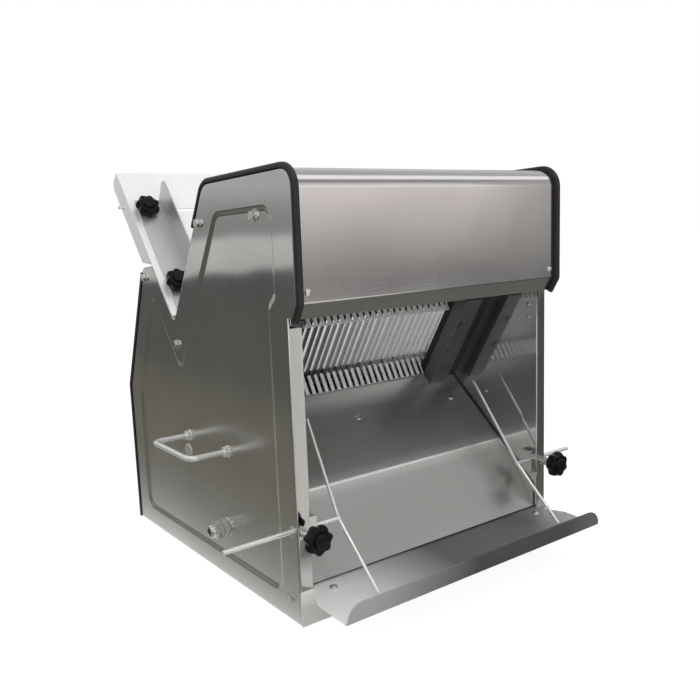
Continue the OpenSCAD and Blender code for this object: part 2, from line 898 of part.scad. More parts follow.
// Tray
tray_top = base_h + sheet_t;
tray_side = 1;
tray_r = 24;
tray_flare = 38;
tray_half = half_w + tray_side;
tray_front_y = front_y - tray_out;
tray_screw_in = 41;
tray_screw_out = 16;
tray_screw_x = half_w - tray_screw_in;
tray_screw_y = front_y - tray_screw_out;
bracket_w = 24;
bracket_in = 90;
bracket_x = half_w - bracket_in;
bracket_reach = 70;
bracket_drop = 30;
tray_back_y = apron_y - fit_gap;
tray_slope = atan(tray_drop/(tray_back_y - tray_front_y + sheet_t/2));
module collecting_tray() {
    back_y = tray_back_y;
    front = [tray_front_y, tray_top - tray_drop];
    color("gainsboro") {
        difference() {
            across(2*tray_half)
                polygon(sheet_outline([[back_y, tray_top], front - [sheet_t/2, 0]], [0, 0], sheet_t));
            both_sides()
                linear_extrude(tray_top + overrun)
                    polygon([[deck_w/2, back_y], [deck_w/2, back_y + overrun],
                        [tray_half + overrun, back_y + overrun], [tray_half + overrun, back_y - tray_flare],
                        [tray_half, back_y - tray_flare]]);
        }
        across(deck_w)
            polygon(sheet_outline([[front_y + base_lip, tray_top], [back_y, tray_top]], [0, 0], sheet_t));
        across(deck_w)
            polygon([[back_y + sheet_t, tray_top], [back_y - sheet_t, tray_top],
                [back_y - sheet_t, base_h], [back_y + sheet_t, base_h]]);
        translate([0, tray_front_y, tray_top - tray_drop - sheet_t])
            rotate([90, 0, 0])
                linear_extrude(sheet_t)
                    polygon(ring([
                        [-tray_half, 0], [-tray_half, lip_h + sheet_t], [tray_half, lip_h + sheet_t],
                        [tray_half, 0]
                    ], [0, tray_r, tray_r, 0]));
        both_sides()
            along_x(bracket_x, bracket_w)
                polygon([[back_y, base_h + sheet_t/2], [back_y, base_h - bracket_drop],
                    [back_y - sheet_t, base_h - bracket_drop],
                    [back_y - bracket_reach, base_h - tray_drop*bracket_reach/tray_out + sheet_t/2]]);
    }
}
tray_screw_d = 6;
module tray_screws() {
    color(steel)
        both_sides()
            translate([tray_screw_x, tray_screw_y, tray_top - (tray_back_y - tray_screw_y)*tan(tray_slope)])
                rotate([tray_slope, 0, 0])
                    pan_screw(tray_screw_d);
}

// Slice guides, their clamp blocks and knobs
sleeve_end = 2;
stud_reach = rod_back - rod_d/2 - slide_gap;
module left_clamp() {
    difference() {
        union() {
            box_between([-liner_x, rod_y - clamp_d/2, rod_z - clamp_h/2],
                [-liner_x + clamp_w, rod_y + clamp_d/2, rod_z + clamp_h/2]);
            along_x(-half_w - sleeve_end, casing_t + sleeve_end + overrun)
                translate([rod_y, rod_z])
                    circle(d = sleeve_d);
            translate([-clamp_x, front_y - boss_out, rod_z])
                rotate([-90, 0, 0])
                    cylinder(d = boss_d, h = boss_out + rod_back);
        }
        along_x(-half_w - sleeve_end - overrun, casing_t + clamp_w + sleeve_end + 2*overrun)
            translate([rod_y, rod_z])
                circle(d = rod_d + 2*run_gap);
        translate([-clamp_x, front_y - boss_out - overrun, rod_z])
            rotate([-90, 0, 0])
                cylinder(d = stud_d + 2*run_gap, h = boss_out + rod_back + overrun);
    }
}
module left_clamp_block() {
    color(dark)
        left_clamp();
}
module right_clamp_block() {
    color(dark)
        mirror([1, 0, 0])
            left_clamp();
}
left_top_back = 66;
left_top_up = 124;
right_top_back = 96;
right_top_up = 121;
guide_foot_out = 82.5;
guide_foot_down = 76.5;
module slice_guide(x, rod_len, top_back, top_up) {
    joint = [-x, rod_y, rod_z];
    bar_between(joint, joint - [rod_len, 0, 0], rod_d);
    bar_between(joint, joint + [0, top_back, top_up], guide_rod_d);
    bar_between(joint, joint - [0, guide_foot_out, guide_foot_down], guide_rod_d);
    translate(joint)
        sphere(d = rod_d);
}
module left_slice_guide() {
    color(steel)
        slice_guide(liner_x - left_guide_in, left_rod_len, left_top_back, left_top_up);
}
module right_slice_guide() {
    color(steel)
        mirror([1, 0, 0])
            slice_guide(liner_x - right_guide_in, right_rod_len, right_top_back, right_top_up);
}
module left_clamp_knob_piece() {
    translate([-clamp_x, front_y - boss_out - slide_gap, rod_z])
        rotate([90, 0, 0])
            star_knob(boss_out + stud_reach, clamp_hub_h);
}
module left_clamp_knob() {
    color(black)
        left_clamp_knob_piece();
}
module right_clamp_knob() {
    color(black)
        mirror([1, 0, 0])
            left_clamp_knob_piece();
}

// Handles and side fittings
module left_handle_rod() {
    seat = half_w - recess_depth;
    out = handle_out - handle_d/2;
    translate([-seat, handle_y, handle_z])
        for (s = [-1, 1])
            translate([0, s*handle_span/2, 0]) {
                rotate([0, -90, 0]) {
                    cylinder(d = handle_d, h = out - handle_bend_r);
                    cylinder(d = collar_d, h = collar_t);
                }
                translate([-out + handle_bend_r, -s*handle_bend_r, 0])
                    rotate([0, 0, s > 0 ? 90 : 180])
                        rotate_extrude(angle = 90)
                            translate([handle_bend_r, 0])
                                circle(d = handle_d);
            }
    translate([-seat - out, handle_y - handle_span/2 + handle_bend_r, handle_z])
        rotate([-90, 0, 0])
            cylinder(d = handle_d, h = handle_span - 2*handle_bend_r);
}
module left_handle() {
    color(steel)
        left_handle_rod();
}
module right_handle() {
    color(steel)
        mirror([1, 0, 0])
            left_handle_rod();
}
module cable_gland() {
    color(steel)
        translate([-half_w + recess_depth, gland_y, gland_z])
            rotate([0, -90, 0])
                difference() {
                    union() {
                        cylinder(d = gland_d, h = gland_flange_t);
                        cylinder(d = gland_d*gland_hex_share, h = gland_hex_h, $fn = 6);
                        cylinder(d = gland_d*gland_nut_share, h = gland_len);
                    }
                    translate([0, 0, -overrun])
                        cylinder(d = gland_d*gland_bore_share, h = gland_len + 2*overrun);
                }
}
module hole_plug() {
    color(steel)
        translate([-half_w + recess_depth, plug_y, plug_z])
            rotate([0, -90, 0])
                cylinder(d = plug_d, h = plug_t);
}

// Blade frames. The rear frame lies behind the blades, the front frame is its image before them
blade_shift = 0.5;
bar_t = 6;
bar_h = 16;
bar_up = 157;
bar_down = 110;
stile_in = 23;
stile_x = liner_x - stile_in;
stile_w = 12;
bar_start = blade_w/2 + blade_shift;
rod_plate_w = 8;
rod_plate_in = 31;
rod_plate_x = liner_x - rod_plate_in;
rod_plate_d = 15;
crank_end_d = 28;
crank_pin_d = 10;

// Work plane of the blades: Y from front to rear, Z up along the blades
module on_blades() {
    translate([0, tip[0], tip[1]])
        rotate([blade_tilt, 0, 0])
            children();
}
module frame_bars() {
    reach = stile_x + stile_w;
    for (up = [bar_up, -bar_down - bar_h])
        box_between([-reach, bar_start, up], [reach, bar_start + bar_t, up + bar_h]);
}
module frame_stiles() {
    both_sides()
        box_between([stile_x, bar_start, -bar_down], [stile_x + stile_w, bar_start + bar_t, bar_up]);
}
module blade_set(first) {
    for (i = [first:2:blade_count - 1])
        box_between([blade_x(i) - blade_t/2, bar_start - blade_w, -bar_down - bar_h],
            [blade_x(i) + blade_t/2, bar_start, bar_up + bar_h]);
}
module rear_frame_bars() {
    color(dark)
        on_blades()
            frame_bars();
}
module front_frame_bars() {
    color(dark)
        on_blades()
            mirror([0, 1, 0])
                frame_bars();
}
module rear_frame_stiles() {
    color(dark)
        on_blades()
            frame_stiles();
}
module front_frame_stiles() {
    color(dark)
        on_blades()
            mirror([0, 1, 0])
                frame_stiles();
}
module rear_blades() {
    color("white")
        on_blades()
            blade_set(0);
}
module front_blades() {
    color("white")
        on_blades()
            mirror([0, 1, 0])
                blade_set(1);
}
guide_block_w = 16.5;
guide_block_wall = 3;
guide_block_h = 40;
guide_block_low = 92;
guide_block_high = 100;
guide_block_ups = [guide_block_high, -guide_block_low];
module frame_guides() {
    reach = bar_start + bar_t + slide_gap + guide_block_wall;
    inner_x = liner_x - guide_block_w;
    color(black)
        on_blades()
            both_sides()
                for (up = guide_block_ups)
                    difference() {
                        box_between([inner_x, -reach, up], [liner_x, reach, up + guide_block_h]);
                        for (s = [0, 1])
                            mirror([0, s, 0])
                                box_between([inner_x - overrun, bar_start - slide_gap, up - overrun],
                                    [stile_x + stile_w + slide_gap, bar_start + bar_t + slide_gap,
                                    up + guide_block_h + overrun]);
                    }
}
module connecting_rod() {
    top = -bar_down - bar_h;
    translate([rod_plate_x, stroke, -crank_down])
        rotate([0, 90, 0])
            difference() {
                union() {
                    cylinder(d = crank_end_d, h = rod_plate_w);
                    box_between([-crank_down - top, -rod_plate_d/2, 0], [0, rod_plate_d/2, rod_plate_w]);
                }
                translate([0, 0, -overrun])
                    cylinder(d = crank_pin_d + 2*run_gap, h = rod_plate_w + 2*overrun);
            }
}
module rear_connecting_rod() {
    color(dark)
        on_blades()
            mirror([1, 0, 0])
                connecting_rod();
}
module front_connecting_rod() {
    color(dark)
        on_blades()
            mirror([0, 1, 0])
                connecting_rod();
}

// Crankshaft, its bearings, pulleys, belt and motor
crank_at = at_blade(0, -crank_down);
crank_disc_d = 56;
crank_disc_t = 10;
crank_pin_len = 7;
crank_disc_x = rod_plate_x - slide_gap - crank_pin_len - crank_disc_t;
bearing_w = 24;
bearing_gap = 27;
bearing_x = crank_disc_x - bearing_gap - bearing_w/2;
bearing_base_w = 70;
bearing_base_h = 12;
bearing_ring_share = 2.2;
drive_room = rear_y - crank_at[0];
pulley_d = drive_room*pulley_share;
motor_pulley_d = drive_room*motor_pulley_share;
pulley_edge = 3;
pulley_w = belt_w + 2*pulley_edge;
pulley_rim = 2;
pulley_gap = 28;
pulley_x = bearing_x - bearing_w/2 - pulley_gap - pulley_w/2;
belt_t = 5;
motor_room = 8;
motor_d = drive_room*motor_share;
motor_at = [rear_y - motor_room - motor_d/2, foot_h + floor_t + motor_room + motor_d/2];
motor_shaft_d = 14;
motor_gap = 6;
motor_x = pulley_x - pulley_w/2 - motor_gap - motor_len;
motor_foot_share = 0.82;
motor_foot_w = motor_d*motor_foot_share;
motor_foot_len = 110;
// Crank disc and its pin on the shaft's right end, the pin offset towards the rear by throw
module crank_disc(throw) {
    translate([crank_disc_x, 0, 0])
        rotate([0, 90, 0]) {
            cylinder(d = crank_disc_d, h = crank_disc_t);
            translate([0, throw, 0])
                cylinder(d = crank_pin_d, h = crank_disc_t + crank_pin_len);
        }
}
module crankshaft() {
    color(steel)
        translate([0, crank_at[0], crank_at[1]])
            rotate([blade_tilt, 0, 0]) {
                translate([-crank_disc_x, 0, 0])
                    rotate([0, 90, 0])
                        cylinder(d = shaft_d, h = 2*crank_disc_x);
                crank_disc(-stroke);
                mirror([1, 0, 0])
                    crank_disc(stroke);
            }
}
module bearing_blocks() {
    floor_z = foot_h + floor_t;
    color(dark)
        both_sides()
            difference() {
                union() {
                    along_x(bearing_x - bearing_w/2, bearing_w) {
                        translate(crank_at)
                            circle(d = shaft_d*bearing_ring_share);
                        polygon([
                            [crank_at[0] - shaft_d*bearing_ring_share/2, crank_at[1]],
                            [crank_at[0] + shaft_d*bearing_ring_share/2, crank_at[1]],
                            [crank_at[0] + bearing_base_w/2, floor_z + bearing_base_h],
                            [crank_at[0] + bearing_base_w/2, floor_z],
                            [crank_at[0] - bearing_base_w/2, floor_z],
                            [crank_at[0] - bearing_base_w/2, floor_z + bearing_base_h]
                        ]);
                    }
                }
                along_x(bearing_x - bearing_w, 2*bearing_w)
                    translate(crank_at)
                        circle(d = shaft_d + 2*run_gap);
            }
}
module pulley(d, bore) {
    difference() {
        union() {
            cylinder(d = d, h = pulley_w, center = true);
            for (s = [-1, 1])
                translate([0, 0, s*(pulley_w - pulley_rim)/2])
                    cylinder(d = d + 2*pulley_rim, h = pulley_rim, center = true);
        }
        cylinder(d = bore, h = pulley_w + 2*overrun, center = true);
    }
}
module driven_pulley() {
    color(dark)
        translate([pulley_x, crank_at[0], crank_at[1]])
            rotate([0, 90, 0])
                pulley(pulley_d, shaft_d);
}
// Outline round the two pulleys, grown by g
function belt_loop(g) =
    let (span = motor_at - crank_at,
         lean = asin((pulley_d - motor_pulley_d)/(2*norm(span))),
         along = atan2(span[1], span[0]),
         big = pulley_d/2 + g,
         small = motor_pulley_d/2 + g,
         big_sweep = 180 + 2*lean,
         small_sweep = 180 - 2*lean)
    concat(
        [for (i = [0:belt_steps]) crank_at + towards(along + 90 - lean + big_sweep*i/belt_steps)*big],
        [for (i = [0:belt_steps]) motor_at + towards(along - 90 + lean + small_sweep*i/belt_steps)*small]
    );
belt_steps = 24;
module drive_belt() {
    color(black)
        along_x(pulley_x - belt_w/2, belt_w)
            difference() {
                polygon(belt_loop(slide_gap + belt_t));
                polygon(belt_loop(slide_gap));
            }
}
motor_bore_len = 60;
module motor_pulley() {
    color(dark)
        translate([pulley_x, motor_at[0], motor_at[1]])
            rotate([0, 90, 0]) {
                cylinder(d = motor_pulley_d, h = pulley_w, center = true);
                for (s = [-1, 1])
                    translate([0, 0, s*(pulley_w - pulley_rim)/2])
                        cylinder(d = motor_pulley_d + 2*pulley_rim, h = pulley_rim, center = true);
                translate([0, 0, -pulley_w/2 - motor_gap - motor_bore_len + overrun])
                    cylinder(d = motor_shaft_d, h = pulley_w + motor_gap + motor_bore_len - overrun);
            }
}
module motor() {
    floor_z = foot_h + floor_t;
    foot_start = motor_x + (motor_len - motor_foot_len)/2;
    color("steelblue")
        difference() {
            union() {
                along_x(motor_x, motor_len)
                    translate(motor_at)
                        circle(d = motor_d);
                box_between([foot_start, motor_at[0] - motor_foot_w/2, floor_z],
                    [foot_start + motor_foot_len, motor_at[0] + motor_foot_w/2, motor_at[1] - motor_d/4]);
            }
            along_x(motor_x + motor_len - motor_bore_len, motor_bore_len + overrun)
                translate(motor_at)
                    circle(d = motor_shaft_d + 2*run_gap);
        }
}

// Start and stop buttons on the right side
switch_back = 150;
switch_y = front_y + switch_back;
switch_z = 330;
switch_w = 56;
switch_h = 110;
switch_t = 14;
switch_r = 8;
button_rise = 25;
button_out = 7;
button_in = 6;
module switch_plate() {
    seat = half_w - recess_depth;
    color(dark)
        difference() {
            along_x(seat, switch_t)
                translate([switch_y, switch_z])
                    polygon(ring([[-switch_w/2, -switch_h/2], [-switch_w/2, switch_h/2],
                        [switch_w/2, switch_h/2], [switch_w/2, -switch_h/2]],
                        [switch_r, switch_r, switch_r, switch_r]));
            for (s = [-1, 1])
                along_x(seat + switch_t - button_in - button_travel, switch_t)
                    translate([switch_y, switch_z + s*button_rise])
                        circle(d = button_d + 2*slide_gap);
        }
}
module button(rise) {
    along_x(half_w - recess_depth + switch_t - button_in + slide_gap, button_in + button_out)
        translate([switch_y, switch_z + rise])
            circle(d = button_d);
}
module start_button() {
    color("green")
        button(button_rise);
}
module stop_button() {
    color("red")
        button(-button_rise);
}

base_frame();
rubber_feet();
left_side_panel();
right_side_panel();
left_liner();
right_liner();
hood_trims();
rear_trims();
hood_cover();
cover_screws();
panel_bolts();
rear_wall();
hopper_plate();
hopper_tie_rod();
left_loaf_guide();
right_loaf_guide();
left_guide_nuts();
right_guide_nuts();
left_upper_knob();
left_lower_knob();
right_upper_knob();
right_lower_knob();
upper_comb();
chute();
chute_studs();
side_rails();
rail_strips();
rail_bolts();
collecting_tray();
tray_screws();
left_clamp_block();
right_clamp_block();
left_slice_guide();
right_slice_guide();
left_clamp_knob();
right_clamp_knob();
left_handle();
right_handle();
cable_gland();
hole_plug();
front_frame_bars();
rear_frame_bars();
front_frame_stiles();
rear_frame_stiles();
front_blades();
rear_blades();
frame_guides();
front_connecting_rod();
rear_connecting_rod();
crankshaft();
bearing_blocks();
driven_pulley();
drive_belt();
motor_pulley();
motor();
switch_plate();
start_button();
stop_button();
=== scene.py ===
import json
from math import cos, pi, radians, sin, tan

import bmesh
import bpy
from mathutils import Matrix, Vector


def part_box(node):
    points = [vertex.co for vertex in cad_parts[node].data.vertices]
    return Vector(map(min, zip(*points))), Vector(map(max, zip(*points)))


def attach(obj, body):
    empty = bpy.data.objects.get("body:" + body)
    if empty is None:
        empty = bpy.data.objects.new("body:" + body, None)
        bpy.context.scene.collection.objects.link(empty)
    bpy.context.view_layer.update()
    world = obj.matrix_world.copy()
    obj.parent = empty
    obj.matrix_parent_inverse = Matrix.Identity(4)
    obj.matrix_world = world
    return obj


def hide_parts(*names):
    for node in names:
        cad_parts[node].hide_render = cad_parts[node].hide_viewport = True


# Table bread slicer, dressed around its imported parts. Metres, X right, Y to the rear, Z up.
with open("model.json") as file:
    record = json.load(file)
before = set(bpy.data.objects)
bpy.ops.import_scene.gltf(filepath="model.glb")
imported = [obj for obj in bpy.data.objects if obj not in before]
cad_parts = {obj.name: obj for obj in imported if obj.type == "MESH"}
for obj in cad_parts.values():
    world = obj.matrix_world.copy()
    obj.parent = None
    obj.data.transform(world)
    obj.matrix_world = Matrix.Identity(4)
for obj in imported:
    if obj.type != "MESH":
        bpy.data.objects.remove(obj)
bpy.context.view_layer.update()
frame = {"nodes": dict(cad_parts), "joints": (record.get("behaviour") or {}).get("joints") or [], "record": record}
record = frame["record"]
bodyOf = {n: body for body, members in record["behaviour"]["bodies"].items() for n in members}
jointOf = {j["name"]: j for j in frame["joints"]}
scene = bpy.context.scene
scene.view_settings.view_transform = "Standard"
print("frame loaded:", len(frame["nodes"]), "nodes")


# Camera at the photo's place
photoCamera = {
    "place": (-0.7471, -1.0832, 0.5191),
    "tilt": 80.86,            # degrees up from straight down
    "roll": -2.08,
    "heading": -36.39,
    "focalPixels": 796.15,
    "framePixels": 700,
    "sensor": 36.0,           # mm
}


def makeCamera(s):
    lens = bpy.data.cameras.new("photoCamera")
    lens.sensor_width = s["sensor"]
    lens.lens = s["focalPixels"]*s["sensor"]/s["framePixels"]
    camera = bpy.data.objects.new("photoCamera", lens)
    heading = Matrix.Rotation(radians(s["heading"]), 4, "Z")
    tilt = Matrix.Rotation(radians(s["tilt"]), 4, "X")
    roll = Matrix.Rotation(radians(s["roll"]), 4, "Z")
    camera.matrix_world = Matrix.Translation(s["place"]) @ heading @ tilt @ roll
    scene.collection.objects.link(camera)
    scene.camera = camera


makeCamera(photoCamera)


# Shader tools: a socket that takes part in sums, and a tree that makes its nodes
class Wire:
    def __init__(self, tree, socket):
        self.tree = tree
        self.socket = socket

    def sum(self, operation, a, b):
        return self.tree.add("ShaderNodeMath", {"operation": operation}, {0: a, 1: b})

    def __add__(self, other):
        return self.sum("ADD", self, other)

    def __sub__(self, other):
        return self.sum("SUBTRACT", self, other)

    def __rsub__(self, other):
        return self.sum("SUBTRACT", other, self)

    def __mul__(self, other):
        return self.sum("MULTIPLY", self, other)

    def atLeast(self, other):
        return self.sum("MAXIMUM", self, other)

    __radd__ = __add__
    __rmul__ = __mul__


class Tree:
    def __init__(self, owner):
        owner.use_nodes = True
        self.nodes = owner.node_tree.nodes
        self.links = owner.node_tree.links
        self.nodes.clear()

    def add(self, kind, settings=None, inputs=None, output=0):
        node = self.nodes.new(kind)
        for key, value in (settings or {}).items():
            if key == "stops":
                setStops(node.color_ramp.elements, value)
            else:
                setattr(node, key, value)
        for key, value in (inputs or {}).items():
            if isinstance(value, Wire):
                self.links.new(value.socket, node.inputs[key])
            else:
                node.inputs[key].default_value = value
        return Wire(self, node.outputs[output]) if node.outputs else None


def setStops(elements, stops):
    for place, colour in stops[2:]:
        elements.new(place)
    for element, (place, colour) in zip(elements, stops):
        element.position = place
        element.color = rgba(colour)


def rgba(colour, gain=1.0):
    return tuple(c*gain for c in colour[:3]) + (1.0,)


def principled(tree, material, sockets):
    shader = tree.add("ShaderNodeBsdfPrincipled", {}, sockets)
    tree.add("ShaderNodeOutputMaterial", {}, {"Surface": shader})
    return material


# Brushed or polished steel
steelGrain = {
    "cloudScale": 7.0,        # counts per metre
    "smearScale": 38.0,
    "smearShare": 0.15,       # of the tone: brushed lines and clouds have the rest
    "toneStops": (0.36, 0.64),
    "smearGloss": 0.7,        # shares of the lines' gloss
    "cloudGloss": 0.5,
    "waveDepth": 0.004,
    "scratchDepth": 0.0002,
    "leastRough": 0.03,
}


# Grain is the lines' counts per metre along X, Y and Z. Dull adds roughness, and the fades paint light and shade
# into the tone, scaling it as the coordinate that they name goes from one place to another.
def steelFinish(name, tone, roughness, grain, spread=0.12, streak=0.4, gloss=0.08, wave=0.0, scratch=0.06,
                metal=1.0, dull=None, paintedLightFades=(), edgeTone=1.0):
    s = steelGrain
    material = bpy.data.materials.new(name)
    tree = Tree(material)
    place = tree.add("ShaderNodeTexCoord", {}, {}, "Object")
    along = tree.add("ShaderNodeMapping", {}, {"Vector": place, "Scale": grain})
    fine = {"Vector": along, "Scale": 1.0, "Detail": 4.0, "Roughness": 0.6}
    lines = tree.add("ShaderNodeTexNoise", {}, fine)
    clouds = tree.add("ShaderNodeTexNoise", {}, {"Vector": place, "Scale": s["cloudScale"], "Detail": 1.0})
    smears = tree.add("ShaderNodeTexNoise", {}, {"Vector": place, "Scale": s["smearScale"], "Detail": 5.0})
    blend = lines*streak + clouds*(1 - s["smearShare"] - streak) + smears*s["smearShare"]
    stops = list(zip(s["toneStops"], (rgba(tone, 1 - spread), rgba(tone, 1 + spread))))
    shade = tree.add("ShaderNodeValToRGB", {"stops": stops}, {"Fac": blend})
    # painted light and shade: the tone scaled up or down as a coordinate goes from one place to another
    for axis, start, end, before, after in paintedLightFades:
        spot = tree.add("ShaderNodeSeparateXYZ", {}, {"Vector": place}, axis)
        gain = tree.add("ShaderNodeMapRange", {}, {0: spot, 1: start, 2: end, 3: before, 4: after})
        shade = tree.add("ShaderNodeVectorMath", {"operation": "SCALE"}, {0: shade, "Scale": gain})
    average = (1 + s["smearGloss"] + s["cloudGloss"])/2     # a noise's mean is one half
    rough = (lines + smears*s["smearGloss"] + clouds*s["cloudGloss"] - average)*gloss + roughness
    if dull:
        amount, spans = dull
        for axis, start, end in spans:
            spot = tree.add("ShaderNodeSeparateXYZ", {}, {"Vector": place}, axis)
            amount = tree.add("ShaderNodeMapRange", {}, {0: spot, 1: start, 2: end})*amount
        rough = rough + amount
    bulges = {"Height": clouds, "Strength": wave, "Distance": s["waveDepth"]}
    sheet = tree.add("ShaderNodeBump", {}, bulges)
    relief = {"Height": lines, "Strength": scratch, "Distance": s["scratchDepth"], "Normal": sheet}
    normal = tree.add("ShaderNodeBump", {}, relief)
    sockets = {"Base Color": shade, "Metallic": metal, "Roughness": rough.atLeast(s["leastRough"]),
               "Normal": normal, "Specular Tint": rgba((edgeTone,)*3)}
    return principled(tree, material, sockets)


# Moulded rubber or plastic with a fine skin and paler dusty patches
mouldedSkin = {
    "patchScale": 45.0,       # counts per metre
    "patchStops": (0.35, 0.75),
    "dustTone": 0.02,
    "patchGloss": 0.18,
    "poreGloss": 0.08,
    "poreDepth": 0.0003,
}


def mouldedFinish(name, tone, roughness, skin=900.0, relief=0.15, dust=0.5, coat=0.0, shine=0.5):
    s = mouldedSkin
    material = bpy.data.materials.new(name)
    tree = Tree(material)
    place = tree.add("ShaderNodeTexCoord", {}, {}, "Object")
    pores = tree.add("ShaderNodeTexNoise", {}, {"Vector": place, "Scale": skin, "Detail": 2.0})
    patches = tree.add("ShaderNodeTexNoise", {}, {"Vector": place, "Scale": s["patchScale"], "Detail": 4.0})
    dusty = [c + dust*s["dustTone"] for c in tone]
    stops = list(zip(s["patchStops"], (tone, dusty)))
    shade = tree.add("ShaderNodeValToRGB", {"stops": stops}, {"Fac": patches})
    average = (s["patchGloss"] + s["poreGloss"])/2
    rough = patches*s["patchGloss"] + pores*s["poreGloss"] + (roughness - average)
    bumps = {"Height": pores, "Strength": relief, "Distance": s["poreDepth"]}
    normal = tree.add("ShaderNodeBump", {}, bumps)
    sockets = {"Base Color": shade, "Roughness": rough, "Normal": normal, "Coat Weight": coat,
               "Specular IOR Level": shine}
    return principled(tree, material, sockets)


# Blade steel with painted light: the faces painted paler to the right, a painted highlight as a bright dotted
# strip along the toothed edge, and painted shade up the blade behind the upper comb
bladeLook = {
    "tip": (-0.0555, 0.2837),
    "back": (0.848, 0.530),   # the way across the blade, away from the front
    # faces: painted light, the blades' tone rising from dark to pale across the machine
    "faces": [(0.0, (0.05, 0.052, 0.054)), (0.22, (0.07, 0.072, 0.074)), (0.36, (0.3, 0.3, 0.3)),
              (0.6, (0.62, 0.62, 0.62)), (1.0, (0.9, 0.9, 0.9))],
    "span": (-0.18, 0.18),
    # strip and edge: a painted highlight along the toothed edge, dotted by the teeth
    "strip": (0.0012, 0.0022),
    "edge": (0.95, 0.95, 0.94),
    "tooth": 0.0055,
    "dotDepth": 0.35,
    # dark and its tone: painted shade up the blade, behind the upper comb
    "dark": (0.1, 0.108),     # up the blade
    "paintedShadeTone": (0.02, 0.02, 0.02),
    "metal": 0.55,
    "roughness": 0.32,
}


def bladeFinish(s):
    material = bpy.data.materials.new("bladeSteel")
    tree = Tree(material)
    place = tree.add("ShaderNodeTexCoord", {}, {}, "Object")
    x, y, z = [tree.add("ShaderNodeSeparateXYZ", {}, {"Vector": place}, axis) for axis in "XYZ"]
    y, z = y - s["tip"][0], z - s["tip"][1]
    off = y*s["back"][0] + z*s["back"][1]
    up = z*s["back"][0] - y*s["back"][1]

    def ramp(value, ends):
        return tree.add("ShaderNodeMapRange", {}, {0: value, 1: ends[0], 2: ends[1]})

    def blend(factor, a, b):
        return tree.add("ShaderNodeMix", {"data_type": "RGBA"}, {"Factor": factor, 6: a, 7: b}, 2)

    # painted light across the faces, a painted highlight along the edge, then painted shade behind the upper comb
    face = tree.add("ShaderNodeValToRGB", {"stops": s["faces"]}, {"Fac": ramp(x, s["span"])})
    teeth = tree.add("ShaderNodeMath", {"operation": "SINE"}, {0: up*(2*pi/s["tooth"])})
    dots = teeth*s["dotDepth"] + (1 - s["dotDepth"])
    lit = blend(ramp(off, s["strip"])*dots, face, rgba(s["edge"]))
    tone = blend(ramp(up, s["dark"]), lit, rgba(s["paintedShadeTone"]))
    sockets = {"Base Color": tone, "Metallic": s["metal"], "Roughness": s["roughness"]}
    return principled(tree, material, sockets)


finishes = {
    "blade": bladeFinish(bladeLook),
    "panel": steelFinish("panelSteel", (0.58, 0.578, 0.565), 0.08, (420, 420, 6), spread=0.06, streak=0.25,
                         gloss=0.03, wave=0.15, scratch=0.02,
                         dull=(0.17, [("Z", 0.37, 0.23), ("Y", -0.265, -0.258)])),
    "hood": steelFinish("hoodSteel", (0.66, 0.64, 0.63), 0.15, (6, 620, 620), spread=0.05, gloss=0.05,
                        wave=0.2),
    # chute fades: a painted highlight in a band round the bend, from z 0.139 to 0.165, and a painted reflection
    # brightening the top near the comb
    "chute": steelFinish("chuteSteel", (0.55, 0.55, 0.535), 0.26, (6, 520, 520), spread=0.02, gloss=0.02,
                         wave=0.1, scratch=0.015, metal=0.85,
                         paintedLightFades=[("Z", 0.139, 0.151, 1.0, 1.3), ("Z", 0.153, 0.165, 1.0, 0.77),
                                ("Z", 0.226, 0.246, 1.0, 1.7)]),
    # tray fades: painted light, the deck paler at the left, darker to the right and paler again at the right end;
    # painted shade on the lip's front face and on everything low down under the tray, which takes in the brackets
    # and base frame that share this finish
    "tray": steelFinish("traySteel", (0.72, 0.72, 0.71), 0.16, (6, 520, 520), spread=0.06, gloss=0.05,
                        wave=0.15, metal=0.55, edgeTone=0.45, dull=(0.14, [("Y", -0.367, -0.36)]),
                        paintedLightFades=[("X", -0.2, -0.02, 1.65, 0.34), ("X", 0.16, 0.22, 1.0, 1.8),
                               ("Y", -0.3675, -0.364, 0.6, 1.0), ("Z", 0.03, 0.047, 0.7, 1.0)]),
    "plate": steelFinish("plateSteel", (0.86, 0.86, 0.855), 0.4, (480, 9, 9), spread=0.05, metal=0.5),
    "guide": steelFinish("guideSteel", (0.6, 0.6, 0.595), 0.36, (480, 9, 9), spread=0.05, metal=0.75),
    "mirror": steelFinish("mirrorSteel", (0.66, 0.66, 0.65), 0.08, (300, 300, 9), spread=0.05, gloss=0.03,
                          wave=0.15, scratch=0.02, metal=0.92),
    "rod": steelFinish("rodSteel", (0.86, 0.86, 0.85), 0.26, (300, 300, 300), spread=0.04, metal=0.75),
    "satin": steelFinish("satinSteel", (0.86, 0.855, 0.83), 0.5, (300, 300, 300), spread=0.04),
    "bolt": steelFinish("boltSteel", (0.66, 0.66, 0.64), 0.2, (900, 900, 900), spread=0.2),
    # comb: a pale, nearly matt copy of the steel, painted light so the fingers look bright under the hood
    "comb": steelFinish("paleLitCombSteel", (0.97, 0.97, 0.96), 0.4, (9, 520, 520), spread=0.03, metal=0.05),
    "dark": steelFinish("darkSteel", (0.2, 0.205, 0.205), 0.36, (60, 60, 500), spread=0.12),
    "rubber": mouldedFinish("blackRubber", (0.009, 0.009, 0.0095), 0.5, dust=0.2),
    "plastic": mouldedFinish("blackPlastic", (0.004, 0.004, 0.0045), 0.28, skin=500.0, relief=0.05, dust=0.05,
                             shine=0.18),
    "nylon": mouldedFinish("blackNylon", (0.008, 0.008, 0.0085), 0.45, dust=0.2),
    "paint": mouldedFinish("motorPaint", (0.1, 0.15, 0.21), 0.42, skin=260.0),
    "green": mouldedFinish("greenButton", (0.02, 0.26, 0.07), 0.3, dust=0.2, coat=0.4),
    "red": mouldedFinish("redButton", (0.42, 0.016, 0.014), 0.3, dust=0.2, coat=0.4),
}
print("finishes made:", len(finishes))


# Mesh tools
bendSteps = 8
mergeReach = 1e-6             # m, for points that are the same
capBevelShare = 0.3           # of a rod's radius


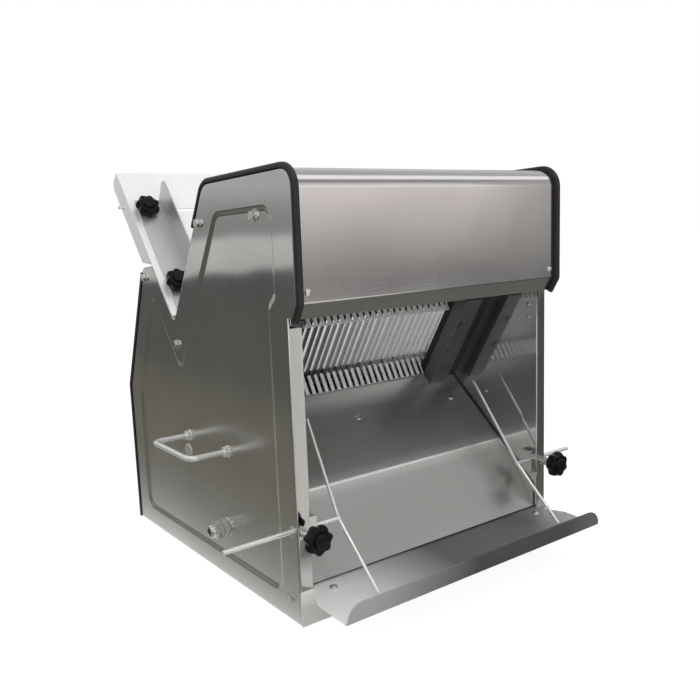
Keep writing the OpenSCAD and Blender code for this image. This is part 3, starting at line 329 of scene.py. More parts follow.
def roundedPath(corners, closed=False):
    # corners are (x, y, z, radius); the wire's corners are rounded and its points come back in order
    bm = bmesh.new()
    verts = [bm.verts.new(c[:3]) for c in corners]
    for pair in zip(verts, verts[1:]):
        bm.edges.new(pair)
    if closed:
        bm.edges.new((verts[-1], verts[0]))
    start = verts[0]
    for vert, corner in zip(verts, corners):
        if corner[3]:
            a, b = [e.other_vert(vert).co - vert.co for e in vert.link_edges]
            reach = corner[3]*tan((pi - a.angle(b))/2)
            made = bmesh.ops.bevel(bm, geom=[vert], affect="VERTICES", offset=reach, offset_type="OFFSET",
                                   segments=bendSteps, profile=0.5, material=-1)
            if vert is start:
                start = made["verts"][0]
    points = [start.co.copy()]
    at, used = start, None
    while True:
        ways = [e for e in at.link_edges if e is not used]
        if not ways or (used and ways[0].other_vert(at) is start):
            break
        used = ways[0]
        at = used.other_vert(at)
        points.append(at.co.copy())
    bm.free()
    return points


def wireOf(bm, points, closed=False):
    verts = [bm.verts.new(p) for p in points]
    edges = [bm.edges.new(pair) for pair in zip(verts, verts[1:])]
    if closed:
        edges.append(bm.edges.new((verts[-1], verts[0])))
    return verts, edges


def extrudeEdges(bm, edges, shift):
    made = bmesh.ops.extrude_edge_only(bm, edges=edges)["geom"]
    verts = [g for g in made if isinstance(g, bmesh.types.BMVert)]
    bmesh.ops.translate(bm, verts=verts, vec=shift)
    return verts, [g for g in made if isinstance(g, bmesh.types.BMEdge)]


def movedOut(corners, out):
    # the open side-view path (y, z, radius) moved to its left by out
    made = []
    last = len(corners) - 1
    for i, (y, z, radius) in enumerate(corners):
        here = Vector((y, z))
        a = (here - Vector(corners[i - 1][:2])).normalized() if i else None
        b = (Vector(corners[i + 1][:2]) - here).normalized() if i < last else None
        a, b = a or b, b or a
        left = Vector((-a.y, a.x)) + Vector((-b.y, b.x))
        turn = a.x*b.y - a.y*b.x
        here += left*(2*out/left.length_squared)
        made.append((here.x, here.y, max(0.0, radius - out*(1 if turn > 0 else -1)) if radius else 0))
    return made


def sweepProfile(bm, corners, profile):
    # a closed profile of (out, x) places carried along the side-view path
    rails = []
    for out, x in profile:
        path = roundedPath([(x, y, z, r) for y, z, r in movedOut(corners, out)])
        rails.append(wireOf(bm, path))
    for (va, ea), (vb, eb) in zip(rails, rails[1:] + rails[:1]):
        bmesh.ops.bridge_loops(bm, edges=ea + eb)
    for end in (0, -1):
        bm.faces.new([verts[end] for verts, edges in rails])
    bmesh.ops.recalc_face_normals(bm, faces=bm.faces)


def faceAway(bm, inside):
    # the open sheet's faces look away from a point
    bmesh.ops.recalc_face_normals(bm, faces=bm.faces)
    side = sum(f.normal.dot(f.calc_center_median() - Vector(inside))*f.calc_area() for f in bm.faces)
    if side < 0:
        bmesh.ops.reverse_faces(bm, faces=bm.faces)


def along(place, axis):
    turn = Vector((0, 0, 1)).rotation_difference(Vector(axis))
    return Matrix.Translation(place) @ turn.to_matrix().to_4x4()


def join(bm, part, matrix):
    part.transform(matrix)
    carrier = bpy.data.meshes.new("carrier")
    part.to_mesh(carrier)
    part.free()
    bm.from_mesh(carrier)
    bpy.data.meshes.remove(carrier)


def turned(profile, steps=32):
    # a lathe shape round Z from (radius, height) points
    bm = bmesh.new()
    verts, edges = wireOf(bm, [(r, 0, z) for r, z in profile])
    bmesh.ops.spin(bm, geom=verts + edges, axis=(0, 0, 1), cent=(0, 0, 0), angle=2*pi, steps=steps,
                   use_merge=True)
    bmesh.ops.remove_doubles(bm, verts=bm.verts, dist=mergeReach)
    bmesh.ops.recalc_face_normals(bm, faces=bm.faces)
    return bm


def hexPrism(radius, low, high, chamfer):
    bm = bmesh.new()
    bmesh.ops.create_cone(bm, cap_ends=True, segments=6, radius1=radius, radius2=radius, depth=high - low)
    bmesh.ops.translate(bm, verts=bm.verts, vec=(0, 0, (high + low)/2))
    rims = [e for e in bm.edges if abs(e.verts[0].co.z - e.verts[1].co.z) < mergeReach]
    bmesh.ops.bevel(bm, geom=rims, affect="EDGES", offset=chamfer, segments=2, profile=0.5, material=-1)
    return bm


def tube(bm, path, radius, sides=20):
    rings = []
    for i, point in enumerate(path):
        ahead = path[min(i + 1, len(path) - 1)] - path[max(i - 1, 0)]
        ring = bmesh.ops.create_circle(bm, cap_ends=False, segments=sides, radius=radius,
                                       matrix=along(point, ahead.normalized()))["verts"]
        rings.append(ring)
    for a, b in zip(rings, rings[1:]):
        edges = {e for v in a + b for e in v.link_edges if e.is_wire or e.is_boundary}
        bmesh.ops.bridge_loops(bm, edges=list(edges))
    for ring in (rings[0], rings[-1]):
        cap = bm.faces.new(ring)
        bmesh.ops.bevel(bm, geom=list(cap.edges), affect="EDGES", offset=radius*capBevelShare,
                        segments=2, profile=0.5, material=-1)
    bmesh.ops.recalc_face_normals(bm, faces=bm.faces)


def addPiece(name, bm, finish, replaced=(), edge=0.0, wall=0.0, smooth=32):
    # a replaced node gives the piece its body, and any other piece is part of the cabinet
    mesh = bpy.data.meshes.new(name)
    bm.to_mesh(mesh)
    bm.free()
    mesh.materials.append(finishes[finish])
    mesh.shade_smooth()
    mesh.set_sharp_from_angle(angle=radians(smooth))
    piece = bpy.data.objects.new(name, mesh)
    scene.collection.objects.link(piece)
    if wall:
        sheet = piece.modifiers.new("sheet", "SOLIDIFY")
        sheet.thickness = abs(wall)
        sheet.offset = -1 if wall > 0 else 1
    if edge:
        soft = piece.modifiers.new("softEdges", "BEVEL")
        soft.width = edge
        soft.segments = 2
        soft.limit_method = "ANGLE"
        soft.angle_limit = radians(smooth)
    flat = piece.modifiers.new("flatFaces", "WEIGHTED_NORMAL")
    flat.keep_sharp = True
    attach(piece, bodyOf[replaced[0]] if replaced else "cabinet")
    if replaced:
        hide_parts(*replaced)


def dressNode(node, finish, edge):
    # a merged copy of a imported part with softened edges
    bm = bmesh.new()
    bm.from_mesh(frame["nodes"][node].data)
    bmesh.ops.remove_doubles(bm, verts=bm.verts, dist=2*mergeReach)
    bmesh.ops.dissolve_limit(bm, angle_limit=radians(0.4), verts=bm.verts, edges=bm.edges)
    addPiece(node + "_piece", bm, finish, [node], edge=edge)


def mirrored(bm):
    bmesh.ops.scale(bm, vec=(-1, 1, 1), verts=bm.verts)
    bmesh.ops.reverse_faces(bm, faces=bm.faces)


# Side panels: folded sheet with a pressed field
sidePanel = {
    "outline": [              # y, z, radius
        (-0.2665, 0.004, 0), (-0.2665, 0.393, 0), (-0.2665, 0.405, 0), (-0.2758, 0.4046, 0),
        (-0.2884, 0.4247, 0.005), (-0.2884, 0.5862, 0.025), (-0.0599, 0.5781, 0.023), (0.064, 0.3776, 0.006),
        (0.09946, 0.42094, 0), (0.1134, 0.43797, 0), (0.1324, 0.4612, 0), (0.1724, 0.4572, 0.005),
        (0.2665, 0.248, 0.004), (0.2665, 0.004, 0),
    ],
    "field": [
        (-0.226, 0.0335, 0.025), (-0.226, 0.4139, 0.010), (-0.2427, 0.4300, 0.014), (-0.2427, 0.5458, 0.024),
        (-0.0891, 0.5404, 0.023), (0.0544, 0.3111, 0.006), (0.1439, 0.4215, 0.014), (0.226, 0.2393, 0.025),
        (0.226, 0.0335, 0.025),
    ],
    "pressWidth": 0.0096,
    "pressDepth": 0.003,
    "pressSteps": 8,
    "fold": 0.003,
    "foldSteps": 4,
    "sheet": 0.0012,
    "studOpening": (0.10643, 0.42946),   # middles of the rim's open parts, for the lower knob's stud
    "chinOpening": (-0.2665, 0.399),     # and, on the left, under the chin
    "openingReach": 0.002,
    "softEdge": 0.0003,
}


def makePanel(name, right):
    s = sidePanel
    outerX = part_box("left_side_panel")[0].x
    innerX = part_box("left_liner")[0].x
    bm = bmesh.new()
    rimVerts, rimEdges = wireOf(bm, roundedPath([(outerX,) + c for c in s["outline"]], True), True)
    fieldVerts, fieldEdges = wireOf(bm, roundedPath([(outerX,) + c for c in s["field"]], True), True)
    pressed = bm.faces.new(fieldVerts)
    pressed.normal_update()
    if pressed.normal.x > 0:
        pressed.normal_flip()
    bmesh.ops.triangle_fill(bm, use_beauty=True, use_dissolve=False, edges=rimEdges + fieldEdges)
    for i in range(s["pressSteps"]):
        a, b = [t*t*(3 - 2*t) for t in (i/s["pressSteps"], (i + 1)/s["pressSteps"])]
        bmesh.ops.inset_region(bm, faces=[pressed], thickness=s["pressWidth"]/s["pressSteps"],
                               depth=s["pressDepth"]*(a - b), use_boundary=True, use_even_offset=True)
    extrudeEdges(bm, rimEdges, (innerX - outerX, 0, 0))
    bmesh.ops.recalc_face_normals(bm, faces=bm.faces)
    if pressed.normal.x > 0:
        bmesh.ops.reverse_faces(bm, faces=bm.faces)
    bmesh.ops.bevel(bm, geom=rimEdges, affect="EDGES", offset=s["fold"], segments=s["foldSteps"], profile=0.5,
                    material=-1)
    openings = [s["studOpening"]] if right else [s["studOpening"], s["chinOpening"]]
    opened = []
    for f in bm.faces:
        spot = f.calc_center_median()
        near = min((spot.yz - Vector(middle)).length for middle in openings)
        if near < s["openingReach"] and spot.x > outerX + s["fold"]:
            opened.append(f)
    bmesh.ops.delete(bm, geom=opened, context="FACES")
    if right:
        mirrored(bm)
    addPiece(name + "_piece", bm, "panel", [name], wall=s["sheet"], edge=s["softEdge"])


makePanel("left_side_panel", False)
makePanel("right_side_panel", True)
for node in ("left_liner", "right_liner"):
    dressNode(node, "mirror", 0.0004)
print("side panels and liners made")


# Hood sheet and its rubber edge trims
hood = {
    "path": [                 # y, z, radius
        (-0.275, 0.405, 0), (-0.2872, 0.425, 0.003), (-0.2872, 0.585, 0.024), (-0.0606, 0.577, 0.022),
        (-0.0234, 0.5175, 0),
    ],
    "sheet": 0.0015,
    "inside": (0, -0.17, 0.5),
    "softEdge": 0.0003,
    "trimProfile": [          # x, distance off the casing, radius
        (-0.2300, 0.0012, 0.001), (-0.2300, 0.0083, 0.003), (-0.2391, 0.0083, 0.0042),
        (-0.2391, 0.0012, 0.0012),
    ],
}


def makeHood(s):
    low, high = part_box("hood_cover")
    bm = bmesh.new()
    verts, edges = wireOf(bm, roundedPath([(low.x, y, z, r) for y, z, r in s["path"]]))
    extrudeEdges(bm, edges, (high.x - low.x, 0, 0))
    faceAway(bm, s["inside"])
    addPiece("hood_cover_piece", bm, "hood", ["hood_cover"], wall=-s["sheet"], edge=s["softEdge"])


def makeTrims(s):
    bm = bmesh.new()
    profile = roundedPath([(x, out, 0, r) for x, out, r in s["trimProfile"]], True)
    sweepProfile(bm, s["path"], [(p.y, p.x) for p in profile])
    half = bm.copy()
    mirrored(half)
    join(bm, half, Matrix.Identity(4))
    addPiece("hood_trims_piece", bm, "rubber", ["hood_trims"], smooth=50)


makeHood(hood)
makeTrims(hood)
dressNode("rear_trims", "rubber", 0.0012)
print("hood made")


# Blades with a scalloped edge, both sets
bladeSet = {
    "tip": (0, -0.0555, 0.2837),
    "tilt": 32,
    "count": 30,
    "pitch": 0.012,
    "width": 0.010,
    "thick": 0.0008,
    "shift": 0.0005,          # how far a set lies towards its frame
    "low": -0.126,
    "high": 0.173,
    "scallop": 0.0055,
    "depth": 0.0018,
    "steps": 4,               # per scallop
}
bladeFrame = Matrix.Translation(bladeSet["tip"]) @ Matrix.Rotation(radians(bladeSet["tilt"]), 4, "X")


def makeBlades(node, first, side):
    s = bladeSet
    bm = bmesh.new()
    front = side*s["shift"] - s["width"]/2
    rear = side*s["shift"] + s["width"]/2
    verts, edges = wireOf(bm, [(0, front, s["low"]), (0, rear, s["low"])])
    total = int((s["high"] - s["low"])/s["scallop"])*s["steps"]
    rise = (s["high"] - s["low"])/total
    for i in range(total):
        verts, edges = extrudeEdges(bm, edges, (0, 0, rise))
        wave = abs(sin(pi*(i + 1)/s["steps"]))
        max(verts, key=lambda v: v.co.y).co.y = rear - s["depth"]*wave
    one = list(bm.verts) + list(bm.edges) + list(bm.faces)
    places = [(i - (s["count"] - 1)/2)*s["pitch"] for i in range(first, s["count"], 2)]
    for x in places[1:]:
        copy = bmesh.ops.duplicate(bm, geom=one)["geom"]
        bmesh.ops.translate(bm, verts=[g for g in copy if isinstance(g, bmesh.types.BMVert)],
                            vec=(x - places[0], 0, 0))
    bmesh.ops.translate(bm, verts=bm.verts, vec=(places[0] - s["thick"]/2, 0, 0))
    bm.transform(bladeFrame)
    bmesh.ops.recalc_face_normals(bm, faces=bm.faces)
    for f in bm.faces:
        if f.normal.x > 0:
            f.normal_flip()
    addPiece(node + "_piece", bm, "blade", [node], wall=s["thick"], smooth=60)


makeBlades("rear_blades", 0, 1)
makeBlades("front_blades", 1, -1)
print("blades made")


# Chute with its finger comb
chute = {
    "foot": (-0.2615, 0.0555),
    "bend": (-0.1901, 0.1529),
    "top": (-0.0718, 0.2538),
    "fingerSlope": 61.4,      # degrees
    "rim": 0.003,             # from the upper bend to the slots
    "finger": 0.031,
    "tipRound": 0.0022,
    "tipSteps": 3,
    "tipMost": 0.8,           # share of a finger's half width that its rounding may take
    "bendRound": 0.022,
    "topRound": 0.004,
    "halfWidth": 0.215,
    "halfComb": 0.1805,
    "slot": 0.006,
    "sheet": 0.0015,
    "cheek": (-0.2615, 0.0912),
}


def makeChute(s):
    b = bladeSet
    gaps = [(i - (b["count"] - 1)/2)*b["pitch"] for i in range(b["count"])]
    stations = [-s["halfWidth"], -s["halfComb"]]
    for x in gaps:
        stations += [x - s["slot"]/2, x + s["slot"]/2]
    stations += [s["halfComb"], s["halfWidth"]]
    rise = Vector((0, cos(radians(s["fingerSlope"])), sin(radians(s["fingerSlope"]))))
    bm = bmesh.new()
    knee = [s["foot"] + (0,), s["bend"] + (s["bendRound"],), s["top"] + (s["topRound"],)]
    knee.append((s["top"][0] + rise.y*s["rim"]*2, s["top"][1] + rise.z*s["rim"]*2, 0))
    path = roundedPath([(0, y, z, r) for y, z, r in knee])
    path[-1] = Vector((0, s["top"][0], s["top"][1])) + rise*s["rim"]
    verts, edges = wireOf(bm, [(x, path[0].y, path[0].z) for x in stations])
    for here, there in zip(path, path[1:]):
        verts, edges = extrudeEdges(bm, edges, there - here)
    faceAway(bm, (0, 0, 0))
    for side in (-1, 1):
        x = side*s["halfWidth"]
        corners = [(x,) + s["bend"], (x,) + s["foot"], (x,) + s["cheek"]]
        bm.faces.new([bm.verts.new(c) for c in (corners if side > 0 else corners[::-1])])
    addPiece("chute_piece", bm, "chute", ["chute"], wall=s["sheet"], smooth=40)
    comb = bmesh.new()
    for left, right in zip(stations[1:-1:2], stations[2:-1:2]):
        root = path[-1]
        verts, edges = wireOf(comb, [(left, root.y, root.z), (right, root.y, root.z)])
        verts, edges = extrudeEdges(comb, edges, rise*(s["finger"] - s["tipRound"]))
        middle, half = (left + right)/2, (right - left)/2
        step = pi/2/s["tipSteps"]
        for i in range(s["tipSteps"]):
            lift = sin((i + 1)*step) - sin(i*step)
            verts, edges = extrudeEdges(comb, edges, rise*(s["tipRound"]*lift))
            narrow = half - min(s["tipRound"], half*s["tipMost"])*(1 - cos((i + 1)*step))
            for v in verts:
                v.co.x = middle + (narrow if v.co.x > middle else -narrow)
    faceAway(comb, (0, 0, 0))
    addPiece("lower_comb", comb, "comb", wall=s["sheet"], smooth=40)


makeChute(chute)
dressNode("upper_comb", "comb", 0.0002)
for node in ("front_frame_bars", "rear_frame_bars", "front_frame_stiles", "rear_frame_stiles"):
    dressNode(node, "dark", 0.0006)
dressNode("side_rails", "dark", 0.0014)
dressNode("rail_strips", "nylon", 0.0006)
print("chute and rails made")


# Collecting tray, one sheet folded up into a lip, on two brackets
tray = {
    "seat": (-0.2325, 0.0525),
    "step": (-0.2685, 0.0525),
    "front": (-0.3682, 0.0483),
    "lip": 0.0245,
    "bend": 0.003,
    "halfWidth": 0.239,
    "halfSeat": 0.2185,
    "flare": 0.038,
    "round": 0.024,
    "sheet": 0.0015,
    "bracketX": (0.148, 0.172),
    "bracketReach": 0.07,
    "bracketDrop": 0.03,
    "bracketFoot": 0.003,
    "below": (0, -0.5, -0.3),  # the sheet's faces look away from here
    "softEdge": 0.0004,
    "bracketEdge": 0.0006,
}


def makeTray(s):
    bm = bmesh.new()
    corners = [(0,) + s["step"] + (0,), (0,) + s["front"] + (s["bend"],),
               (0, s["front"][0], s["front"][1] + s["lip"], 0)]
    path = roundedPath(corners)
    slope = (s["step"][1] - s["front"][1])/(s["step"][0] - s["front"][0])
    widened = Vector((0, s["step"][0] - s["flare"], s["step"][1] - slope*s["flare"]))
    verts, edges = wireOf(bm, [(x, s["seat"][0], path[0].z) for x in (-s["halfSeat"], s["halfSeat"])])
    verts, edges = extrudeEdges(bm, edges, (0, s["step"][0] - s["seat"][0], 0))
    verts, edges = extrudeEdges(bm, edges, widened - path[0])
    for v in verts:
        v.co.x = s["halfWidth"]*(1 if v.co.x > 0 else -1)
    for a, b in zip([widened] + path[1:], path[1:]):
        verts, edges = extrudeEdges(bm, edges, b - a)
    ends = sorted(verts, key=lambda v: v.co.x)
    bmesh.ops.bevel(bm, geom=[ends[0], ends[-1]], affect="VERTICES", offset=s["round"], segments=bendSteps,
                    profile=0.5, material=-1)
    faceAway(bm, s["below"])
    addPiece("collecting_tray_piece", bm, "tray", ["collecting_tray"], wall=s["sheet"], edge=s["softEdge"])
    bm = bmesh.new()
    under = s["step"][1] - s["sheet"]
    for side in (-1, 1):
        low, high = sorted(side*x for x in s["bracketX"])
        corners = [(s["step"][0], under), (s["step"][0], under - s["bracketDrop"]),
                   (s["step"][0] - s["bracketFoot"], under - s["bracketDrop"]),
                   (s["step"][0] - s["bracketReach"], under - slope*s["bracketReach"])]
        face = bm.faces.new([bm.verts.new((low, y, z)) for y, z in corners])
        made = bmesh.ops.extrude_face_region(bm, geom=[face])["geom"]
        bmesh.ops.translate(bm, verts=[g for g in made if isinstance(g, bmesh.types.BMVert)],
                            vec=(high - low, 0, 0))
    bmesh.ops.recalc_face_normals(bm, faces=bm.faces)
    addPiece("tray_brackets", bm, "tray", edge=s["bracketEdge"])


makeTray(tray)
print("tray made")


# Star knobs, seated where their joints are
starKnob = {
    "lobes": 7,
    "lobeSteps": 12,
    "radius": 0.020,
    "rings": [                # height, radius share, lobe depth
        (0.0070, 0.80, 0.10), (0.0082, 0.93, 0.15), (0.0105, 0.99, 0.17), (0.0140, 1.00, 0.17),
        (0.0180, 0.985, 0.17), (0.0202, 0.95, 0.165), (0.0216, 0.87, 0.15), (0.0221, 0.76, 0.11),
        (0.0215, 0.62, 0.04), (0.0213, 0.54, 0.0), (0.0226, 0.51, 0.0), (0.0244, 0.47, 0.0),
        (0.0250, 0.38, 0.0), (0.0246, 0.26, 0.0), (0.0243, 0.1, 0.0),
    ],
    "hubRadius": 0.0088,
    "hubChamfer": (0.0004, 0.0006),
    "hubOverlap": 0.0008,
    "guideDrop": 0.005,       # how much lower the heads sit on the loaf guides
    "studRadius": 0.003,
    "studSink": 0.001,        # how far the stud reaches into the hub
    "studChamfer": 0.0005,
    "seatLift": 0.0041,       # hopper face to knob seat on the loaf guides
    "guideStud": 0.0104,
    "clampStud": 0.0264,
    "turns": {"left_upper": 12, "left_lower": 33, "right_upper": 5, "right_lower": 21, "left_clamp": 8,
              "right_clamp": 26},
}


def makeKnob(key, lift, stud, drop):
    s = starKnob
    joint = jointOf[key + "_knob_turn"]
    axis = Vector(joint["axis"]).normalized()
    segments = s["lobes"]*s["lobeSteps"]
    head = bmesh.new()
    ring = bmesh.ops.create_circle(head, cap_ends=False, segments=segments, radius=s["radius"])["verts"]
    edges = list(head.edges)
    angles = [2*pi*i/segments for i in range(segments)]
    spots = {v: a for v, a in zip(ring, angles)}
    for i, (height, share, lobe) in enumerate(s["rings"]):
        if i:
            made = bmesh.ops.extrude_edge_only(head, edges=edges)["geom"]
            fresh = [g for g in made if isinstance(g, bmesh.types.BMVert)]
            edges = [g for g in made if isinstance(g, bmesh.types.BMEdge)
                     and all(v in fresh for v in g.verts)]
            old = {tuple(round(c, 7) for c in v.co): a for v, a in spots.items()}
            spots = {v: old[tuple(round(c, 7) for c in v.co)] for v in fresh}
        for v, a in spots.items():
            r = s["radius"]*share*(1 - lobe*(1 - cos(s["lobes"]*a))/2)
            v.co = (r*cos(a), r*sin(a), height - drop)
    bmesh.ops.holes_fill(head, edges=head.edges, sides=0)
    bmesh.ops.recalc_face_normals(head, faces=head.faces)
    bm = bmesh.new()
    join(bm, head, Matrix.Rotation(radians(s["turns"][key]), 4, "Z"))
    r, top = s["hubRadius"], s["rings"][0][0] - drop + s["hubOverlap"]
    inwards, upwards = s["hubChamfer"]
    hub = [(0, 0), (r - inwards, 0), (r, upwards), (r, top), (0, top)]
    join(bm, turned(hub, 36), Matrix.Identity(4))
    r, chamfer = s["studRadius"], s["studChamfer"]
    rod = [(0, s["studSink"]), (r, s["studSink"]), (r, chamfer - stud), (r - chamfer, -stud), (0, -stud)]
    join(bm, turned(rod, 24), Matrix.Identity(4))
    bm.transform(along(Vector(joint["pos_m"]) + axis*lift, axis))
    node = key + "_knob"
    addPiece(node + "_piece", bm, "plastic", [node], smooth=48)


for key in ("left_upper", "left_lower", "right_upper", "right_lower"):
    makeKnob(key, starKnob["seatLift"], starKnob["guideStud"], starKnob["guideDrop"])
for key in ("left_clamp", "right_clamp"):
    makeKnob(key, 0.0, starKnob["clampStud"], 0.0)
print("knobs made")


# Slice guides: a cross rod with a bent guide rod welded to its end
sliceGuide = {
    "y": -0.2535,
    "z": 0.130,
    "rod": 0.00325,
    "wire": 0.0025,
    "beadShare": 1.12,        # of the cross rod's radius
    "upper": {"left": (0.066, 0.124), "right": (0.096, 0.121)},
    "lower": (-0.0825, -0.0765),
    "bend": 0.05,
    "left": (-0.165, -0.338),     # weld and outer end
    "right": (0.187, 0.310),
}


def makeGuide(side):
    s = sliceGuide
    inner, outer = s[side]
    bm = bmesh.new()
    tube(bm, [Vector((inner, s["y"], s["z"])), Vector((outer, s["y"], s["z"]))], s["rod"])
    guide = bmesh.new()
    back, up = s["upper"][side]
    corners = [(inner, s["y"] + back, s["z"] + up, 0), (inner, s["y"], s["z"], s["bend"]),
               (inner, s["y"] + s["lower"][0], s["z"] + s["lower"][1], 0)]
    tube(guide, roundedPath(corners), s["wire"])
    join(bm, guide, Matrix.Identity(4))
    bead = bmesh.new()
    bmesh.ops.create_uvsphere(bead, u_segments=20, v_segments=12, radius=s["rod"]*s["beadShare"])
    join(bm, bead, Matrix.Translation((inner, s["y"], s["z"])))
    node = side + "_slice_guide"
    addPiece(node + "_piece", bm, "rod", [node], smooth=40)


makeGuide("left")
makeGuide("right")
for node in ("left_clamp_block", "right_clamp_block"):
    dressNode(node, "bolt", 0.0006)


# Handles, bent rod with a collar and a nut on each leg
handle = {
    "x": 0.235,
    "y": (-0.083, 0.041),
    "z": 0.1995,
    "out": 0.060,
    "rod": 0.004,
    "bend": 0.012,
    "collar": [(0.0, 0.0), (0.0088, 0.0), (0.0088, 0.0012), (0.0084, 0.0016), (0.0, 0.0016)],
    "nutRadius": 0.0078,
    "nut": (0.0016, 0.0074),
    "nutChamfer": 0.0008,
}


def makeHandle(node, side):
    s = handle
    base, tipX = side*s["x"], side*(s["x"] + s["out"])
    bm = bmesh.new()
    corners = [(base, s["y"][0], s["z"], 0), (tipX, s["y"][0], s["z"], s["bend"]),
               (tipX, s["y"][1], s["z"], s["bend"]), (base, s["y"][1], s["z"], 0)]
    tube(bm, roundedPath(corners), s["rod"], 24)
    for y in s["y"]:
        seat = along((base, y, s["z"]), (side, 0, 0))
        join(bm, turned(s["collar"], 28), seat)
        join(bm, hexPrism(s["nutRadius"], *s["nut"], s["nutChamfer"]), seat)
    addPiece(node + "_piece", bm, "rod", [node], smooth=40)


makeHandle("left_handle", -1)
makeHandle("right_handle", 1)
print("guides and handles made")


# Cable gland and plug button on the left panel
gland = {
    "place": (-0.235, -0.073, 0.083),
    "flange": [(0.0, 0.0), (0.0142, 0.0), (0.0142, 0.0022), (0.0134, 0.003), (0.0, 0.003)],
    "hexRadius": 0.0131,
    "hex": (0.003, 0.011),
    "neck": [(0.0, 0.011), (0.0112, 0.011), (0.0112, 0.0122), (0.0, 0.0122)],
    "nutRadius": 0.0128,
    "nutHex": (0.0122, 0.0262),
    "chamfer": 0.0012,
    "dome": [(0.0051, 0.0262), (0.0106, 0.0262), (0.0104, 0.0285), (0.0094, 0.0312), (0.0078, 0.0328),
             (0.0063, 0.033), (0.0053, 0.0322), (0.0051, 0.030)],
    "seal": [(0.0, 0.0305), (0.0052, 0.0305), (0.0052, 0.0295), (0.0, 0.0295)],
}
plugButton = {
    "place": (-0.235, 0.0485, 0.172),
    "profile": [(0.0, 0.0), (0.0119, 0.0), (0.012, 0.0006), (0.0112, 0.0016), (0.0085, 0.0022),
                (0.0, 0.0024)],
}


def makeFittings():
    out = (-1, 0, 0)
    bm = turned(gland["flange"])
    for radius, key in (("hexRadius", "hex"), ("nutRadius", "nutHex")):
        join(bm, hexPrism(gland[radius], *gland[key], gland["chamfer"]), Matrix.Identity(4))
    for key in ("neck", "dome"):
        join(bm, turned(gland[key]), Matrix.Identity(4))
    bm.transform(along(gland["place"], out))
    addPiece("cable_gland_piece", bm, "bolt", ["cable_gland"], smooth=35)
    seal = turned(gland["seal"])
    seal.transform(along(gland["place"], out))
    addPiece("gland_seal", seal, "rubber")
    button = turned(plugButton["profile"], 40)
    button.transform(along(plugButton["place"], out))
    addPiece("hole_plug_piece", button, "satin", ["hole_plug"], smooth=30)


makeFittings()


# Fasteners: hexagon bolts on the panels and dome screws elsewhere, with places on the right-hand side
fasteners = {
    "panelX": 0.238,
    "fieldX": 0.235,
    "fieldBolts": [(-0.1932, 0.531)],
    "rimBolts": [(0.059, 0.3416), (-0.0420, 0.5245), (-0.2405, 0.035), (0.1654, 0.4412)],
    "washer": [(0.0, 0.0), (0.0073, 0.0), (0.0073, 0.0009), (0.007, 0.0012), (0.0, 0.0012)],
    "headRadius": 0.0066,
    "head": (0.0012, 0.0054),
    "headChamfer": 0.0006,
    "dome": [(0.0, 0.0), (0.0050, 0.0), (0.0048, 0.0011), (0.0039, 0.0021), (0.0024, 0.0027),
             (0.0, 0.0027)],
    "hoodScrew": (0.221, -0.2887, 0.437),
    "wallScrews": [(0.201, 0.2665, 0.051), (0.201, 0.2665, 0.2133)],
    "trayScrew": (0.197, -0.2825, 0.0519),
    "trayUp": (0, -0.042, 1),
    "trayScale": 1.2,
    "studs": [(-0.022, -0.1149, 0.217), (0.176, -0.1149, 0.217), (-0.176, -0.1149, 0.217)],
    "studUp": (0, -0.654, 0.7564),
}


def hexBolt():
    s = fasteners
    bm = turned(s["washer"], 28)
    join(bm, hexPrism(s["headRadius"], *s["head"], s["headChamfer"]), Matrix.Identity(4))
    return bm


def domeScrew(scale=1.0):
    return turned([(r*scale, z*scale) for r, z in fasteners["dome"]], 28)


def makeFasteners():
    s = fasteners
    bm = bmesh.new()
    for side in (-1, 1):
        for y, z in s["fieldBolts"]:
            join(bm, hexBolt(), along((side*s["fieldX"], y, z), (side, 0, 0)))
        for y, z in s["rimBolts"]:
            join(bm, hexBolt(), along((side*s["panelX"], y, z), (side, 0, 0)))
    addPiece("panel_bolts_piece", bm, "bolt", ["panel_bolts"])
    bm = bmesh.new()
    for side in (-1, 1):
        x, y, z = s["hoodScrew"]
        join(bm, domeScrew(), along((side*x, y, z), (0, -1, 0)))
        for x, y, z in s["wallScrews"]:
            join(bm, domeScrew(), along((side*x, y, z), (0, 1, 0)))
    addPiece("cover_screws_piece", bm, "bolt", ["cover_screws"])
    bm = bmesh.new()
    for side in (-1, 1):
        x, y, z = s["trayScrew"]
        join(bm, domeScrew(s["trayScale"]), along((side*x, y, z), s["trayUp"]))
    addPiece("tray_screws_piece", bm, "bolt", ["tray_screws"])
    bm = bmesh.new()
    for place in s["studs"]:
        join(bm, domeScrew(), along(place, s["studUp"]))
    addPiece("chute_studs_piece", bm, "bolt", ["chute_studs"])


makeFasteners()
dressNode("rail_bolts", "dark", 0.0005)
print("fasteners made")


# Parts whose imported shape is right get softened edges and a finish
plainParts = {
    "base_frame": ("tray", 0.0008), "rubber_feet": ("rubber", 0.0012), "rear_wall": ("hood", 0.0004),
    "hopper_plate": ("plate", 0.0004), "hopper_tie_rod": ("rod", 0.0008),
    "left_loaf_guide": ("guide", 0.0005), "right_loaf_guide": ("guide", 0.0005),
    "left_guide_nuts": ("bolt", 0.0005), "right_guide_nuts": ("bolt", 0.0005),
    "switch_plate": ("dark", 0.0012), "start_button": ("green", 0.0012), "stop_button": ("red", 0.0012),
    "frame_guides": ("nylon", 0.0005), "motor": ("paint", 0.002), "motor_pulley": ("dark", 0.0006),
    "driven_pulley": ("dark", 0.0006), "drive_belt": ("rubber", 0.0006), "crankshaft": ("rod", 0.0006),
    "bearing_blocks": ("dark", 0.001), "front_connecting_rod": ("dark", 0.0006),
    "rear_connecting_rod": ("dark", 0.0006),
}
for node, (finish, edge) in plainParts.items():
    dressNode(node, finish, edge)
print("plain parts dressed:", len(plainParts))


